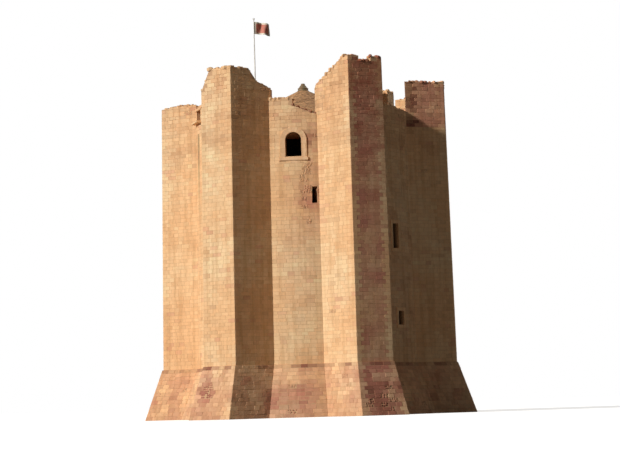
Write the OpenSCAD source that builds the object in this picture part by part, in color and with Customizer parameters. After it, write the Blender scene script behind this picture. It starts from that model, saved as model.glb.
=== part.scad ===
/* [Round wall] */
// Radius of the round wall just above the plinth
foot_r = 9350; // [9000:10:9700]
// How far the outer faces lean in, in mm for each metre of height
batter = 12.7; // [0:0.1:20]
// Height of the wall-walk above the ground
walk_z = 23300; // [22300:50:24500]

/* [Plinth] */
// Height of the splayed plinth
plinth_h = 4100; // [3000:50:4800]
// Outward splay of the plinth, in mm for each metre of height
plinth_splay = 350; // [150:10:450]
// Ledge on top of the plinth
plinth_ledge = 90; // [40:5:200]

/* [Buttresses] */
// Distance from the tower's axis to a buttress's outer face, just above the plinth
buttress_reach = 12030; // [11600:10:12600]
// Width of a buttress's outer face, just above the plinth
buttress_face_w = 3080; // [2600:10:3500]
// Half of the angle that a buttress covers on the round wall
root_angle = 18; // [16.5:0.5:19.5]

/* [Turrets] */
// Heights above the wall-walk at the face, behind it, at the root and at the inner wall: front left
turret_front_left = [4100, 4100, 2750, 2600]; // [2300:50:5000]
// The same heights, front right
turret_front_right = [4600, 4400, 2800, 2600]; // [2300:50:5000]
// The same heights, right
turret_right = [3800, 3750, 3750, 2300]; // [2300:50:5000]
// The same heights, back right
turret_back_right = [4900, 4800, 4600, 4300]; // [2300:50:5000]
// The same heights, back left
turret_back_left = [3600, 3500, 3300, 3000]; // [2300:50:5000]
// The same heights, left
turret_left = [2500, 2600, 2600, 2450]; // [2300:50:5000]
// Thickness of a turret's outer and side walls
turret_wall = 780; // [600:10:850]
// Thickness of a turret's inner wall, towards the wall-walk
turret_inner_wall = 500; // [350:10:600]
// Width of a turret's doorway
turret_door_w = 750; // [600:10:950]
// Height of a turret's doorway above the paving
turret_door_h = 1850; // [1600:10:1950]
// Width of the gap worn in the top of the front right turret's face
turret_notch_w = 1050; // [500:10:1400]
// Depth of that gap
turret_notch_h = 380; // [100:10:600]
// Share of the front left turret's chamber, from the face inwards, whose walls keep their full height
turret_break = 0.33; // [0.2:0.01:0.5]
// Length over which its walls step down there
turret_break_w = 650; // [300:10:900]
// Height above the wall-walk at the foot of that step
turret_break_h = 3100; // [2800:50:3600]
// Width of the corner worn off its face, on the left
turret_corner_w = 900; // [500:10:1200]
// Height above the wall-walk left at that corner
turret_corner_h = 2300; // [2200:50:2700]
// Width of the small arch left in the back right turret's flanks
turret_arch_w = 950; // [600:10:1100]
// Height of that arch's springing above the wall-walk
turret_arch_z = 3300; // [2600:10:3400]

/* [Parapets] */
// Thickness of the parapet
parapet_t = 900; // [700:10:1000]
// Heights above the wall-walk at the left end, left and right of the break, right end: front
parapet_front = [1780, 1700, 1120, 350]; // [250:10:2400]
// The same heights, front right
parapet_front_right = [1500, 1400, 1350, 1250]; // [250:10:2400]
// The same heights, back right
parapet_back_right = [1700, 1500, 1500, 1600]; // [250:10:2400]
// The same heights, back
parapet_back = [1650, 1700, 1300, 1250]; // [250:10:2400]
// The same heights, back left
parapet_back_left = [1100, 1350, 1700, 1750]; // [250:10:2400]
// The same heights, front left
parapet_front_left = [2150, 2250, 1900, 2000]; // [1850:10:2400]
// Width of the opening through the front left parapet
parapet_loop_w = 1250; // [500:10:1300]
// Height of that opening
parapet_loop_h = 930; // [600:10:950]
// Height of its sill above the wall-walk
parapet_loop_sill = 1000; // [900:10:1100]
// How far its sill stone stands out from the wall
parapet_sill_reach = 360; // [100:10:500]

/* [Floors] */
// Radius of the basement
basement_r = 4100; // [3900:10:4300]
// Radius of the entrance room
entrance_r = 4800; // [4700:10:4900]
// Radius of the hall
hall_r = 5100; // [5000:10:5200]
// Radius of the top chamber
chamber_r = 5400; // [5300:10:5500]
// Thickness of the basement's paving
basement_floor_t = 300; // [150:10:500]
// Level of the entrance floor
entrance_z = 6200; // [6000:50:6500]
// Level of the hall floor
hall_z = 11800; // [11300:50:12200]
// Level of the top chamber's floor
chamber_z = 18300; // [18200:50:18700]
// Rise of the basement's vault
vault_rise = 2000; // [1500:10:2200]
// Thickness of the vault at its crown
vault_crown_t = 550; // [400:10:700]
// Radius of the eye in the vault
eye_r = 450; // [350:10:600]
// Thickness of the floorboards
board_t = 60; // [40:1:80]
// Depth of the floor beams
beam_h = 300; // [200:10:360]
// Width of the floor beams
beam_w = 200; // [150:10:260]
// Spacing of the floor beams
beam_step = 800; // [600:10:1000]
// Gap between the boards and the wall
board_gap = 15; // [5:1:30]

/* [Openings] */
// Width of the arched windows
window_w = 1270; // [1000:10:1400]
// Height of an arched window from its sill to its crown
window_h = 2000; // [1700:10:2200]
// Height of an arched window's sill above the chamber floor
window_sill = 2000; // [1700:10:2100]
// Width of the dressed stones round an arched window
window_dressing = 420; // [300:10:480]
// Depth of the dressed stones in the wall
dressing_depth = 600; // [400:10:700]
// How far the dressed stones stand out from the wall at the middle
dressing_proud = 15; // [5:1:40]
// Width of an arched window's splay at its inner face
window_splay_w = 1900; // [1800:10:2000]
// Height of the doorway
door_h = 2400; // [2100:10:2600]
// Width of the doorway
door_w = 1500; // [1200:10:1600]
// Width of the dressed stones beside the doorway
door_dressing = 450; // [300:10:500]
// Height of the doorway's lintel
lintel_h = 600; // [400:10:700]
// Width of the slits and loops
slit_w = 700; // [400:10:800]
// Height of the hall's slits
slit_h = 2000; // [1600:10:2200]
// Height of a hall slit's sill above its floor
slit_sill = 1400; // [1000:10:1500]
// Height of the entrance room's loops
loop_h = 1100; // [800:10:1300]
// Height of a loop's sill above its floor
loop_sill = 900; // [700:10:1000]
// Width of the dressed stones round a slit or loop
slit_dressing = 260; // [200:10:300]
// Width of a slit's splay at its inner face
slit_splay_w = 1300; // [1000:10:1350]
// Width of the small stair light beside the front right buttress
light_w = 420; // [300:10:440]
// Height of the small stair light
light_h = 1300; // [900:10:1400]
// Height of its sill above the hall floor
light_sill = 4850; // [4600:10:4900]

/* [Roof] */
// How far the eaves reach past the curb wall
eaves_reach = 150; // [120:5:300]
// Pitch of the roof
roof_pitch = 27; // [22:0.5:32]
// Thickness of the roof covering and its boards
roof_t = 80; // [50:5:120]
// Height of the curb wall that carries the roof
curb_h = 650; // [450:10:900]
// Thickness of the curb wall
curb_t = 450; // [400:10:500]
// Width of the wall plate
plate_w = 250; // [200:10:280]
// Height of the wall plate
plate_h = 150; // [100:10:200]
// Number of rafters
rafter_n = 24; // [16:4:32]
// Width of a rafter
rafter_w = 110; // [80:5:150]
// Depth of a rafter
rafter_h = 220; // [150:10:280]
// Radius of the king post that the rafters meet
king_post_r = 260; // [200:10:300]
// Length of the king post below the rafters
king_post_drop = 500; // [300:10:800]
// How far the rafters' feet stay back from the edge of the roof
rafter_setback = 100; // [60:5:110]
// Radius of the cap on the roof's point
cap_r = 430; // [380:10:500]
// Height of the cap above the roof
cap_h = 620; // [400:10:800]

/* [Flag] */
// How far the flagpole stands from the curb wall, as a share of the wall-walk's width
pole_share = 0.32; // [0.2:0.01:0.5]
// Height of the flagpole
pole_h = 8700; // [7000:50:9500]
// Diameter of the flagpole at its foot
pole_d = 130; // [90:5:160]
// Diameter of the flagpole at its top
pole_top_d = 75; // [60:5:90]
// Width of the flag
flag_w = 1500; // [1000:10:1800]
// Height of the flag
flag_h = 1000; // [700:10:1200]
// Thickness of the flag's plain solid
flag_t = 30; // [20:1:60]
// Distance from the pole's top to the flag
flag_top_gap = 150; // [50:10:400]
// Direction in which the flag flies, seen from above
flag_angle = 12; // [-60:1:60]
// Thickness of the wall-walk's paving
paving_t = 120; // [80:10:160]

/* [Hidden] */
$fn = 240;
STONE = "#c8ab80";
DRESSED = "#dcc69e";
DARK_STONE = "#b89a70";
OAK = "#7a5a3c";
ROOF = "#77736b";
COPPER = "#5f7a68";
// Direction of each buttress and each wall between two buttresses, from +X
A_FRONT_LEFT = -120;
A_FRONT_RIGHT = -60;
A_RIGHT = 0;
A_BACK_RIGHT = 60;
A_BACK_LEFT = 120;
A_LEFT = 180;
half_bay = 30 - root_angle;
over = 50;
seat_gap = 0.3;
far = 2 * walk_z;
top_lean = batter * (walk_z - plinth_h) / 1000;
wall_top_r = foot_r - top_lean;
curb_r = chamber_r + curb_t;
roof_r = curb_r + eaves_reach;
parapet_in_r = wall_top_r - parapet_t;
pole_reach = curb_r + pole_share * (parapet_in_r - curb_r);
root_half_w = foot_r * sin(root_angle);
root_x = foot_r * cos(root_angle);
flank_taper = (root_half_w - buttress_face_w / 2) / (buttress_reach - root_x);
vault_spring_z = entrance_z - vault_crown_t - vault_rise;
hall_ledge_z = hall_z - board_t - beam_h;
chamber_ledge_z = chamber_z - board_t - beam_h;
curb_top_z = walk_z + curb_h;
plate_mid_r = chamber_r + curb_t / 2;
plate_top_z = curb_top_z + plate_h;
cover_rise = roof_t / cos(roof_pitch);
rafter_rise = rafter_h / cos(roof_pitch);
eaves_z = plate_top_z + rafter_rise + cover_rise - (roof_r - plate_mid_r) * tan(roof_pitch);
walk_floor_z = walk_z + paving_t;
arch_sill_h = window_dressing * 0.6;
// Turn of some openings from the middle of their wall; positive is to the right from outside
slit_turn = -4.4;
loop_turn = -2.6;
light_turn = 9.9;
parapet_loop_turn = -6.5;

// How far the outer faces lie outside their place just above the plinth, at height z
function lean(z) = z < plinth_h
  ? plinth_ledge + plinth_splay * (plinth_h - z) / 1000
  : -batter * (z - plinth_h) / 1000;

// Half the width of a buttress at distance x from the axis, with its faces moved out by e
function flank(x, e) = (foot_r + e) * sin(root_angle) - flank_taper * (x - (foot_r + e) * cos(root_angle));

// Solid whose upright side is the flank's plane on the +Y side: its place moves from e0 at z0 to e1 at z1
module flank_side(z0, e0, z1, e1) {
  turn = atan(flank_taper);
  rotate([0, 0, -turn]) rotate([90, 0, 90]) linear_extrude(far) polygon([
    [-far, z0],
    [flank(0, e0) * cos(turn), z0],
    [flank(0, e1) * cos(turn), z1],
    [-far, z1]
  ]);
}

// Part of a buttress between two heights, its faces moved out by e0 at z0 and by e1 at z1
module wedge(z0, e0, z1, e1, core) {
  intersection() {
    translate([0, far / 2, 0]) rotate([90, 0, 0]) linear_extrude(far) polygon([
      [0, z0],
      [buttress_reach + e0, z0],
      [buttress_reach + e1, z1],
      [0, z1]
    ]);
    flank_side(z0, e0, z1, e1);
    mirror([0, 1, 0]) flank_side(z0, e0, z1, e1);
    translate([0, 0, z0]) linear_extrude(z1 - z0) polygon([
      [core * cos(root_angle), -core * sin(root_angle)],
      [far * cos(root_angle), -far * sin(root_angle)],
      [far * cos(root_angle), far * sin(root_angle)],
      [core * cos(root_angle), core * sin(root_angle)]
    ]);
  }
}

// The part of the four rooms behind a buttress, as one solid to cut from it
module rooms() {
  rotate([0, 0, -30]) rotate_extrude(angle = 60) polygon([
    [0, -over],
    [basement_r, -over],
    [basement_r, vault_spring_z],
    [entrance_r, vault_spring_z],
    [entrance_r, hall_ledge_z],
    [hall_r, hall_ledge_z],
    [hall_r, chamber_ledge_z],
    [chamber_r, chamber_ledge_z],
    [chamber_r, walk_z + over],
    [0, walk_z + over]
  ]);
}

// Buttress with the part of the round wall behind it: the splayed plinth, then the shaft on it
module buttress(angle) {
  core = basement_r * 0.8;
  color(STONE) rotate([0, 0, angle]) {
    difference() {
      wedge(0, lean(0), plinth_h, plinth_ledge, core);
      rooms();
    }
    difference() {
      wedge(plinth_h, 0, walk_z, lean(walk_z), core);
      rooms();
    }
  }
}

// Round wall between two buttresses, between two heights
module wall_ring(z0, z1) {
  profile = [
    [basement_r, 0],
    [foot_r + lean(0), 0],
    [foot_r + plinth_ledge, plinth_h],
    [foot_r, plinth_h],
    [foot_r + lean(walk_z), walk_z],
    [chamber_r, walk_z],
    [chamber_r, chamber_ledge_z],
    [hall_r, chamber_ledge_z],
    [hall_r, hall_ledge_z],
    [entrance_r, hall_ledge_z],
    [entrance_r, vault_spring_z],
    [basement_r, vault_spring_z]
  ];
  rotate([0, 0, -half_bay]) rotate_extrude(angle = 2 * half_bay) intersection() {
    polygon(profile);
    translate([0, z0]) square([far, z1 - z0]);
  }
}

// Passage through the wall: straight for the dressed stones, then splayed towards the room,
// where its sides end at y0 and y1
module splay(w, y0, y1, z, h) {
  inner_x = basement_r * 0.9;
  face_x = foot_r - dressing_depth;
  translate([0, 0, z]) linear_extrude(h) polygon([
    [inner_x, y0],
    [hall_r, y0],
    [face_x, -w / 2],
    [foot_r + over, -w / 2],
    [foot_r + over, w / 2],
    [face_x, w / 2],
    [hall_r, y1],
    [inner_x, y1]
  ]);
}

// Outer face of the dressed stones whose sill is at z
function dressing_face(z) = foot_r + lean(z) + dressing_proud;

// Upright outline in the wall's face, pushed in from the face of the dressed stones
module into_wall(z) {
  translate([dressing_face(z) - dressing_depth, 0, z])
    rotate([90, 0, 90]) linear_extrude(dressing_depth) children();
}

// Outline of a round-headed opening
module arch_outline(w, h) {
  translate([-w / 2, 0]) square([w, h - w / 2]);
  translate([0, h - w / 2]) circle(d = w, $fn = 96);
}

// Outline of an arched window's dressed stones
module arch_dressing_outline() {
  arch_outline(window_w + 2 * window_dressing, window_h + window_dressing);
  translate([-window_w / 2 - window_dressing * 1.25, -arch_sill_h])
    square([window_w + window_dressing * 2.5, arch_sill_h]);
}

// Outline of a slit's dressed stones
module slit_dressing_outline(h) {
  translate([-slit_w / 2 - slit_dressing, -slit_dressing])
    square([slit_w + 2 * slit_dressing, h + 2 * slit_dressing]);
}

// Arched window's opening through the wall, with the seat of its dressed stones
module window_cut() {
  z = chamber_z + window_sill;
  into_wall(z) arch_dressing_outline();
  splay(window_w, -window_splay_w / 2, window_splay_w / 2, z, window_h);
}

// One slit's or loop's opening through the wall, with the seat of its dressed stones
module slit_cut(z, h) {
  into_wall(z) slit_dressing_outline(h);
  splay(slit_w, -slit_splay_w / 2, slit_splay_w / 2, z, h);
}

// Dressed stones round one slit
module slit_stones(angle, z, h) {
  rotate([0, 0, angle]) into_wall(z) difference() {
    slit_dressing_outline(h);
    translate([-slit_w / 2, 0]) square([slit_w, h]);
  }
}

// Wall with a hall slit and an entrance loop, each turned a little from the wall's middle
module slit_wall(angle, turn_slit, turn_loop) {
  color(STONE) rotate([0, 0, angle]) difference() {
    wall_ring(0, walk_z);
    rotate([0, 0, turn_slit]) slit_cut(hall_z + slit_sill, slit_h);
    rotate([0, 0, turn_loop]) slit_cut(entrance_z + loop_sill, loop_h);
  }
}

module wall_front_below_window() {
  color(STONE) rotate([0, 0, -90]) difference() {
    wall_ring(0, chamber_z);
    rotate([0, 0, light_turn]) splay(light_w, -light_w * 2, -light_w * 0.2, hall_z + light_sill, light_h);
  }
}

module wall_front_at_window() {
  color(STONE) rotate([0, 0, -90]) difference() {
    wall_ring(chamber_z, walk_z);
    window_cut();
  }
}

module wall_front_right() slit_wall(-30, slit_turn, loop_turn);
module wall_back_right() slit_wall(30, 0, 0);
module wall_back_left() slit_wall(150, 0, 0);

module wall_front_left() {
  color(STONE) rotate([0, 0, 210]) wall_ring(0, walk_z);
}

door_top_z = entrance_z + door_h;

module door_outline() {
  translate([-door_w / 2 - door_dressing, 0]) square([door_w + 2 * door_dressing, door_h + lintel_h]);
}

module door_seat() into_wall(entrance_z) door_outline();

module wall_back_below_door() {
  color(STONE) rotate([0, 0, 90]) wall_ring(0, entrance_z);
}

// Wall beside the doorway, on the side of +1 or -1
module door_side(side) {
  color(STONE) rotate([0, 0, 90]) difference() {
    wall_ring(entrance_z, door_top_z);
    door_seat();
    translate([0, side > 0 ? -far : -door_w / 2, 0]) cube([far, far + door_w / 2, far]);
  }
}

module wall_back_door_left() door_side(1);
module wall_back_door_right() door_side(-1);

module wall_back_above_door() {
  color(STONE) rotate([0, 0, 90]) difference() {
    wall_ring(door_top_z, walk_z);
    door_seat();
    window_cut();
    slit_cut(hall_z + slit_sill, slit_h);
  }
}

module window_dressing_stones(angle) {
  z = chamber_z + window_sill;
  color(DRESSED) rotate([0, 0, angle]) into_wall(z) difference() {
    arch_dressing_outline();
    arch_outline(window_w, window_h);
  }
}

module window_dressing_front() window_dressing_stones(-90);
module window_dressing_back() window_dressing_stones(90);

module slit_dressings() {
  hall_slit_z = hall_z + slit_sill;
  loop_z = entrance_z + loop_sill;
  color(DRESSED) {
    slit_stones(-30 + slit_turn, hall_slit_z, slit_h);
    slit_stones(-30 + loop_turn, loop_z, loop_h);
    slit_stones(30, hall_slit_z, slit_h);
    slit_stones(30, loop_z, loop_h);
    slit_stones(90, hall_slit_z, slit_h);
    slit_stones(150, hall_slit_z, slit_h);
    slit_stones(150, loop_z, loop_h);
  }
}

module doorway_dressing() {
  color(DRESSED) rotate([0, 0, 90]) into_wall(entrance_z) difference() {
    door_outline();
    translate([-door_w / 2, -over]) square([door_w, door_h + over]);
  }
}

// Turret over a buttress: open to the sky, its top worn to the four heights in tops
module turret(angle, tops, notch = 0, arch = 0, step = 0, corner = 0) {
  e = lean(walk_z);
  highest = max(tops);
  chamber_in = parapet_in_r + turret_inner_wall;
  chamber_out = buttress_reach + e - turret_wall;
  side_wall = turret_wall * sqrt(1 + flank_taper * flank_taper);
  step_x = chamber_out - step * (chamber_out - chamber_in);
  stepped = step > 0
    ? [[step_x - turret_break_w, walk_z + turret_break_h], [step_x, walk_z + tops[1]]]
    : [];
  color(STONE) rotate([0, 0, angle]) difference() {
    wedge(walk_z, e, walk_z + highest, lean(walk_z + highest), parapet_in_r * 0.9);
    translate([0, 0, walk_z - over]) cylinder(h = far, r = parapet_in_r);
    // Chamber
    translate([0, 0, walk_z]) linear_extrude(far) polygon([
      [chamber_in, -flank(chamber_in, e) + side_wall],
      [chamber_out, -flank(chamber_out, e) + side_wall],
      [chamber_out, flank(chamber_out, e) - side_wall],
      [chamber_in, flank(chamber_in, e) - side_wall]
    ]);
    // Doorway from the wall-walk
    translate([parapet_in_r * 0.9, -turret_door_w / 2, walk_z])
      cube([chamber_in - parapet_in_r * 0.9 + over, turret_door_w, turret_door_h + paving_t]);
    // Worn top, seen from the side
    translate([0, far / 2, 0]) rotate([90, 0, 0]) linear_extrude(far) polygon(concat(
      [
        [0, walk_z + tops[3]],
        [chamber_in - over, walk_z + tops[3]],
        [chamber_in, walk_z + tops[2]]
      ],
      stepped,
      [
        [chamber_out, walk_z + tops[1]],
        [chamber_out + over, walk_z + tops[0]],
        [far, walk_z + tops[0]],
        [far, far],
        [0, far]
      ]
    ));
    if (corner > 0)
      translate([0, 0, walk_z]) rotate([90, 0, 90]) linear_extrude(far) polygon([
        [-far / 2, turret_corner_h],
        [-buttress_face_w / 2, turret_corner_h],
        [corner - buttress_face_w / 2, tops[0]],
        [corner - buttress_face_w / 2, far],
        [-far / 2, far]
      ]);
    if (notch > 0)
      translate([chamber_out - over, -notch / 2, walk_z + highest - turret_notch_h])
        cube([turret_wall * 2, notch, far]);
    if (arch > 0)
      translate([(chamber_in + chamber_out) / 2, far / 2, walk_z + turret_arch_z]) rotate([90, 0, 0])
        linear_extrude(far) union() {
          circle(d = arch, $fn = 48);
          translate([-arch / 2, -arch / 3]) square([arch, arch / 3]);
        }
  }
}

module turret_front_left_walls()
  turret(A_FRONT_LEFT, turret_front_left, step = turret_break, corner = turret_corner_w);
module turret_front_right_walls() turret(A_FRONT_RIGHT, turret_front_right, notch = turret_notch_w);
module turret_right_walls() turret(A_RIGHT, turret_right);
module turret_back_right_walls() turret(A_BACK_RIGHT, turret_back_right, arch = turret_arch_w);
module turret_back_left_walls() turret(A_BACK_LEFT, turret_back_left);
module turret_left_walls() turret(A_LEFT, turret_left);

// Parapet between two turrets, its top worn to four heights from left to right as seen from outside
module parapet(angle, tops) {
  highest = max(tops);
  half_w = wall_top_r * sin(half_bay) + over;
  color(STONE) rotate([0, 0, angle]) difference() {
    rotate([0, 0, -half_bay]) rotate_extrude(angle = 2 * half_bay) polygon([
      [parapet_in_r, walk_z],
      [foot_r + lean(walk_z), walk_z],
      [foot_r + lean(walk_z + highest), walk_z + highest],
      [parapet_in_r, walk_z + highest]
    ]);
    translate([0, 0, walk_z]) rotate([90, 0, 90]) linear_extrude(far) polygon([
      [-half_w, tops[0]],
      [0, tops[1]],
      [0, tops[2]],
      [half_w, tops[3]],
      [half_w, far],
      [-half_w, far]
    ]);
  }
}

module parapet_front_wall() parapet(-90, parapet_front);
module parapet_front_right_wall() parapet(-30, parapet_front_right);
module parapet_back_right_wall() parapet(30, parapet_back_right);
module parapet_back_wall() parapet(90, parapet_back);
module parapet_back_left_wall() parapet(150, parapet_back_left);

// Parapet with an opening over a sill stone that stands out from the wall
module parapet_front_left_wall() {
  sill_z = walk_z + parapet_loop_sill;
  sill_h = 150;
  face_x = foot_r + lean(sill_z);
  color(STONE) {
    difference() {
      parapet(210, parapet_front_left);
      rotate([0, 0, 210 + parapet_loop_turn]) translate([0, -parapet_loop_w / 2, sill_z])
        cube([far, parapet_loop_w, parapet_loop_h]);
    }
    rotate([0, 0, 210 + parapet_loop_turn])
      translate([face_x - parapet_t / 2, -parapet_loop_w * 0.6, sill_z - sill_h])
        cube([parapet_t / 2 + parapet_sill_reach, parapet_loop_w * 1.2, sill_h]);
  }
}

module basement_floor() {
  color(DARK_STONE) cylinder(h = basement_floor_t, r = basement_r);
}

// Domed vault that carries the entrance floor, with an eye in its crown
module basement_vault() {
  dome_r = (basement_r * basement_r + vault_rise * vault_rise) / (2 * vault_rise);
  color(DARK_STONE) difference() {
    translate([0, 0, vault_spring_z]) cylinder(h = entrance_z - vault_spring_z, r = entrance_r);
    translate([0, 0, vault_spring_z + vault_rise - dome_r]) sphere(r = dome_r);
    translate([0, 0, vault_spring_z]) cylinder(h = entrance_z, r = eye_r);
  }
}

// Beams across a room, their ends on the wall's ledge
module beams(room_r, ledge_z) {
  reach = room_r - board_gap;
  count = floor((reach - beam_w) / beam_step);
  color(OAK) intersection() {
    translate([0, 0, ledge_z]) cylinder(h = beam_h, r = reach);
    for (k = [-count:count])
      translate([-reach, k * beam_step - beam_w / 2, ledge_z]) cube([2 * reach, beam_w, beam_h]);
  }
}

module hall_beams() beams(hall_r, hall_ledge_z);
module chamber_beams() beams(chamber_r, chamber_ledge_z);

module hall_floor() {
  color(OAK) translate([0, 0, hall_z - board_t]) cylinder(h = board_t, r = hall_r - board_gap);
}

module chamber_floor() {
  color(OAK) translate([0, 0, chamber_z - board_t]) cylinder(h = board_t, r = chamber_r - board_gap);
}

module wall_walk_paving() {
  color(DARK_STONE) translate([0, 0, walk_z]) difference() {
    cylinder(h = paving_t, r = parapet_in_r);
    translate([0, 0, -over]) cylinder(h = paving_t + 2 * over, r = curb_r);
  }
}

module roof_curb() {
  color(STONE) translate([0, 0, walk_z]) difference() {
    cylinder(h = curb_h, r = curb_r);
    translate([0, 0, -over]) cylinder(h = curb_h + 2 * over, r = chamber_r);
  }
}

module wall_plate() {
  color(OAK) translate([0, 0, curb_top_z]) difference() {
    cylinder(h = plate_h, r = plate_mid_r + plate_w / 2);
    translate([0, 0, -over]) cylinder(h = plate_h + 2 * over, r = plate_mid_r - plate_w / 2);
  }
}

// Height of the roof's upper face at radius r
function slope_z(r) = eaves_z + (roof_r - r) * tan(roof_pitch);

module king_post() {
  top = slope_z(king_post_r) - cover_rise;
  color(OAK) translate([0, 0, top - rafter_rise - king_post_drop])
    cylinder(h = rafter_rise + king_post_drop, r = king_post_r);
}

// Rafters round the king post, notched over the wall plate
module rafters() {
  foot_out = roof_r - rafter_setback;
  plate_out = plate_mid_r + plate_w / 2;
  top_drop = cover_rise;
  under_drop = cover_rise + rafter_rise;
  color(OAK) intersection() {
    rotate_extrude() polygon([
      [king_post_r, slope_z(king_post_r) - under_drop],
      [plate_mid_r, plate_top_z],
      [plate_out, plate_top_z],
      [plate_out, slope_z(plate_out) - under_drop],
      [foot_out, slope_z(foot_out) - under_drop],
      [foot_out, slope_z(foot_out) - top_drop],
      [king_post_r, slope_z(king_post_r) - top_drop]
    ]);
    for (k = [0:rafter_n - 1])
      rotate([0, 0, (k + 0.5) * 360 / rafter_n]) translate([0, -rafter_w / 2, walk_z])
        cube([roof_r, rafter_w, far]);
  }
}

module roof_covering() {
  color(ROOF) rotate_extrude() polygon([
    [king_post_r, slope_z(king_post_r) - cover_rise],
    [roof_r, eaves_z - cover_rise],
    [roof_r, eaves_z],
    [king_post_r, slope_z(king_post_r)]
  ]);
}

module roof_cap() {
  shoulder_z = slope_z(cap_r) + cap_h * 0.35;
  color(COPPER) rotate_extrude() polygon([
    [0, slope_z(0)],
    [cap_r, slope_z(cap_r)],
    [cap_r, shoulder_z],
    [cap_r * 0.35, slope_z(cap_r) + cap_h],
    [0, slope_z(cap_r) + cap_h]
  ]);
}

// Radius of the flagpole at height h above its foot
function pole_r(h) = (pole_d + (pole_top_d - pole_d) * h / pole_h) / 2;

module flagpole() {
  color("#e8e4da") rotate([0, 0, A_FRONT_LEFT]) translate([pole_reach, 0, walk_floor_z])
    cylinder(h = pole_h, d1 = pole_d, d2 = pole_top_d, $fn = 64);
}

module flag() {
  foot = pole_h - flag_top_gap - flag_h;
  color("#b4483c") rotate([0, 0, A_FRONT_LEFT]) translate([pole_reach, 0, walk_floor_z + foot])
    rotate([0, 0, flag_angle - A_FRONT_LEFT]) translate([pole_r(foot) + seat_gap, -flag_t / 2, 0])
      cube([flag_w, flag_t, flag_h]);
}

module buttress_front_left() buttress(A_FRONT_LEFT);
module buttress_front_right() buttress(A_FRONT_RIGHT);
module buttress_right() buttress(A_RIGHT);
module buttress_back_right() buttress(A_BACK_RIGHT);
module buttress_back_left() buttress(A_BACK_LEFT);
module buttress_left() buttress(A_LEFT);

basement_floor();
basement_vault();
hall_beams();
hall_floor();
chamber_beams();
chamber_floor();
buttress_front_left();
buttress_front_right();
buttress_right();
buttress_back_right();
buttress_back_left();
buttress_left();
wall_front_below_window();
wall_front_at_window();
wall_front_right();
wall_back_right();
wall_back_left();
wall_front_left();
wall_back_below_door();
wall_back_door_left();
wall_back_door_right();
wall_back_above_door();
window_dressing_front();
window_dressing_back();
slit_dressings();
doorway_dressing();
turret_front_left_walls();
turret_front_right_walls();
turret_right_walls();
turret_back_right_walls();
turret_back_left_walls();
turret_left_walls();
parapet_front_wall();
parapet_front_right_wall();
parapet_back_right_wall();
parapet_back_wall();
parapet_back_left_wall();
parapet_front_left_wall();
wall_walk_paving();
roof_curb();
wall_plate();
king_post();
rafters();
roof_covering();
roof_cap();
flagpole();
flag();
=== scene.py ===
"""Castle keep of coursed limestone: stones, slabs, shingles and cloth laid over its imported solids.

Everything is in metres, in the part's own frame: +Z up, the tower's axis at the origin.
"""

import math
import random

import bpy
from bpy.props import FloatProperty, FloatVectorProperty, PointerProperty
from mathutils import Matrix, Vector, noise


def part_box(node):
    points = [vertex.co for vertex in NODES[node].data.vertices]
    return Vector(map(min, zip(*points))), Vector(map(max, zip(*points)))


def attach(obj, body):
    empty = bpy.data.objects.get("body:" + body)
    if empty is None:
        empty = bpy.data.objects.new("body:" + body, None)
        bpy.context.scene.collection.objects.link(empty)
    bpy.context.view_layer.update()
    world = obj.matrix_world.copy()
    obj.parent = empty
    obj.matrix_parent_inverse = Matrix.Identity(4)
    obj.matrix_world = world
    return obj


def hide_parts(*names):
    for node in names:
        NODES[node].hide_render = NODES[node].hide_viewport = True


bl_info = {
    "name": "Castle Keep",
    "version": (1, 0, 0),
    "blender": (4, 5, 0),
    "location": "View3D > Sidebar > Keep",
    "description": "Lays the stones, slabs, shingles and flag of a ruined castle keep over its solids",
    "category": "Object",
}

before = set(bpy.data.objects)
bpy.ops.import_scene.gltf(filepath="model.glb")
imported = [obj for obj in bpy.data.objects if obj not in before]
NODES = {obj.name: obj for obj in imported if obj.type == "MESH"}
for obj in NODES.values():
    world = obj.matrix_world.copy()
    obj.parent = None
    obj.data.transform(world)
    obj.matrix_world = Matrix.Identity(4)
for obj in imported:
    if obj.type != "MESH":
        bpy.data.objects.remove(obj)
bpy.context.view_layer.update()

# Sizes that the solids have too, in metres
FOOT_R = 9.35
BATTER = 0.0127
PLINTH_H, PLINTH_SPLAY, PLINTH_LEDGE = 4.1, 0.35, 0.09
REACH = 12.03
FACE_HALF_W = 1.54
ROOT = math.radians(18)
HALF_BAY = math.radians(12)
WALK_Z = 23.3
PAVED_Z = 23.42
PARAPET_T = 0.9
TURRET_WALL = 0.78
INNER_WALL = 0.5
DOOR_HALF_W, DOOR_TOP = 0.375, 1.97
CURB_R = 5.85
CURB_LEVELS = (PAVED_Z, 23.68, 23.95)
ROOF_R = 6.0
PITCH = math.radians(27)
CAP_R = 0.43

TAPER = (FOOT_R * math.sin(ROOT) - FACE_HALF_W) / (REACH - FOOT_R * math.cos(ROOT))
SLANT = math.hypot(1, TAPER)


def lean(z):
    """How far the outer faces lie outside their place just above the plinth."""
    if z < PLINTH_H:
        return PLINTH_LEDGE + PLINTH_SPLAY * (PLINTH_H - z)
    return -BATTER * (z - PLINTH_H)


def wall_r(z):
    """Radius of the round wall's outer face."""
    return FOOT_R + lean(z)


def flank(x, e):
    """Half the width of a buttress at distance x from the axis, with its faces moved out by e."""
    return (FOOT_R + e) * math.sin(ROOT) - TAPER * (x - (FOOT_R + e) * math.cos(ROOT))


TOP_E = lean(WALK_Z)
PARAPET_IN = FOOT_R + TOP_E - PARAPET_T
CHAMBER_IN = PARAPET_IN + INNER_WALL
CHAMBER_OUT = REACH + TOP_E - TURRET_WALL
SIDE_WALL = TURRET_WALL * SLANT
CHAMBER_W_IN, CHAMBER_W_OUT = (flank(x, TOP_E) - SIDE_WALL for x in (CHAMBER_IN, CHAMBER_OUT))
ROOF_T = 0.08
EAVES_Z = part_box("roof_covering")[0].z + ROOF_T / math.cos(PITCH)

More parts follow.
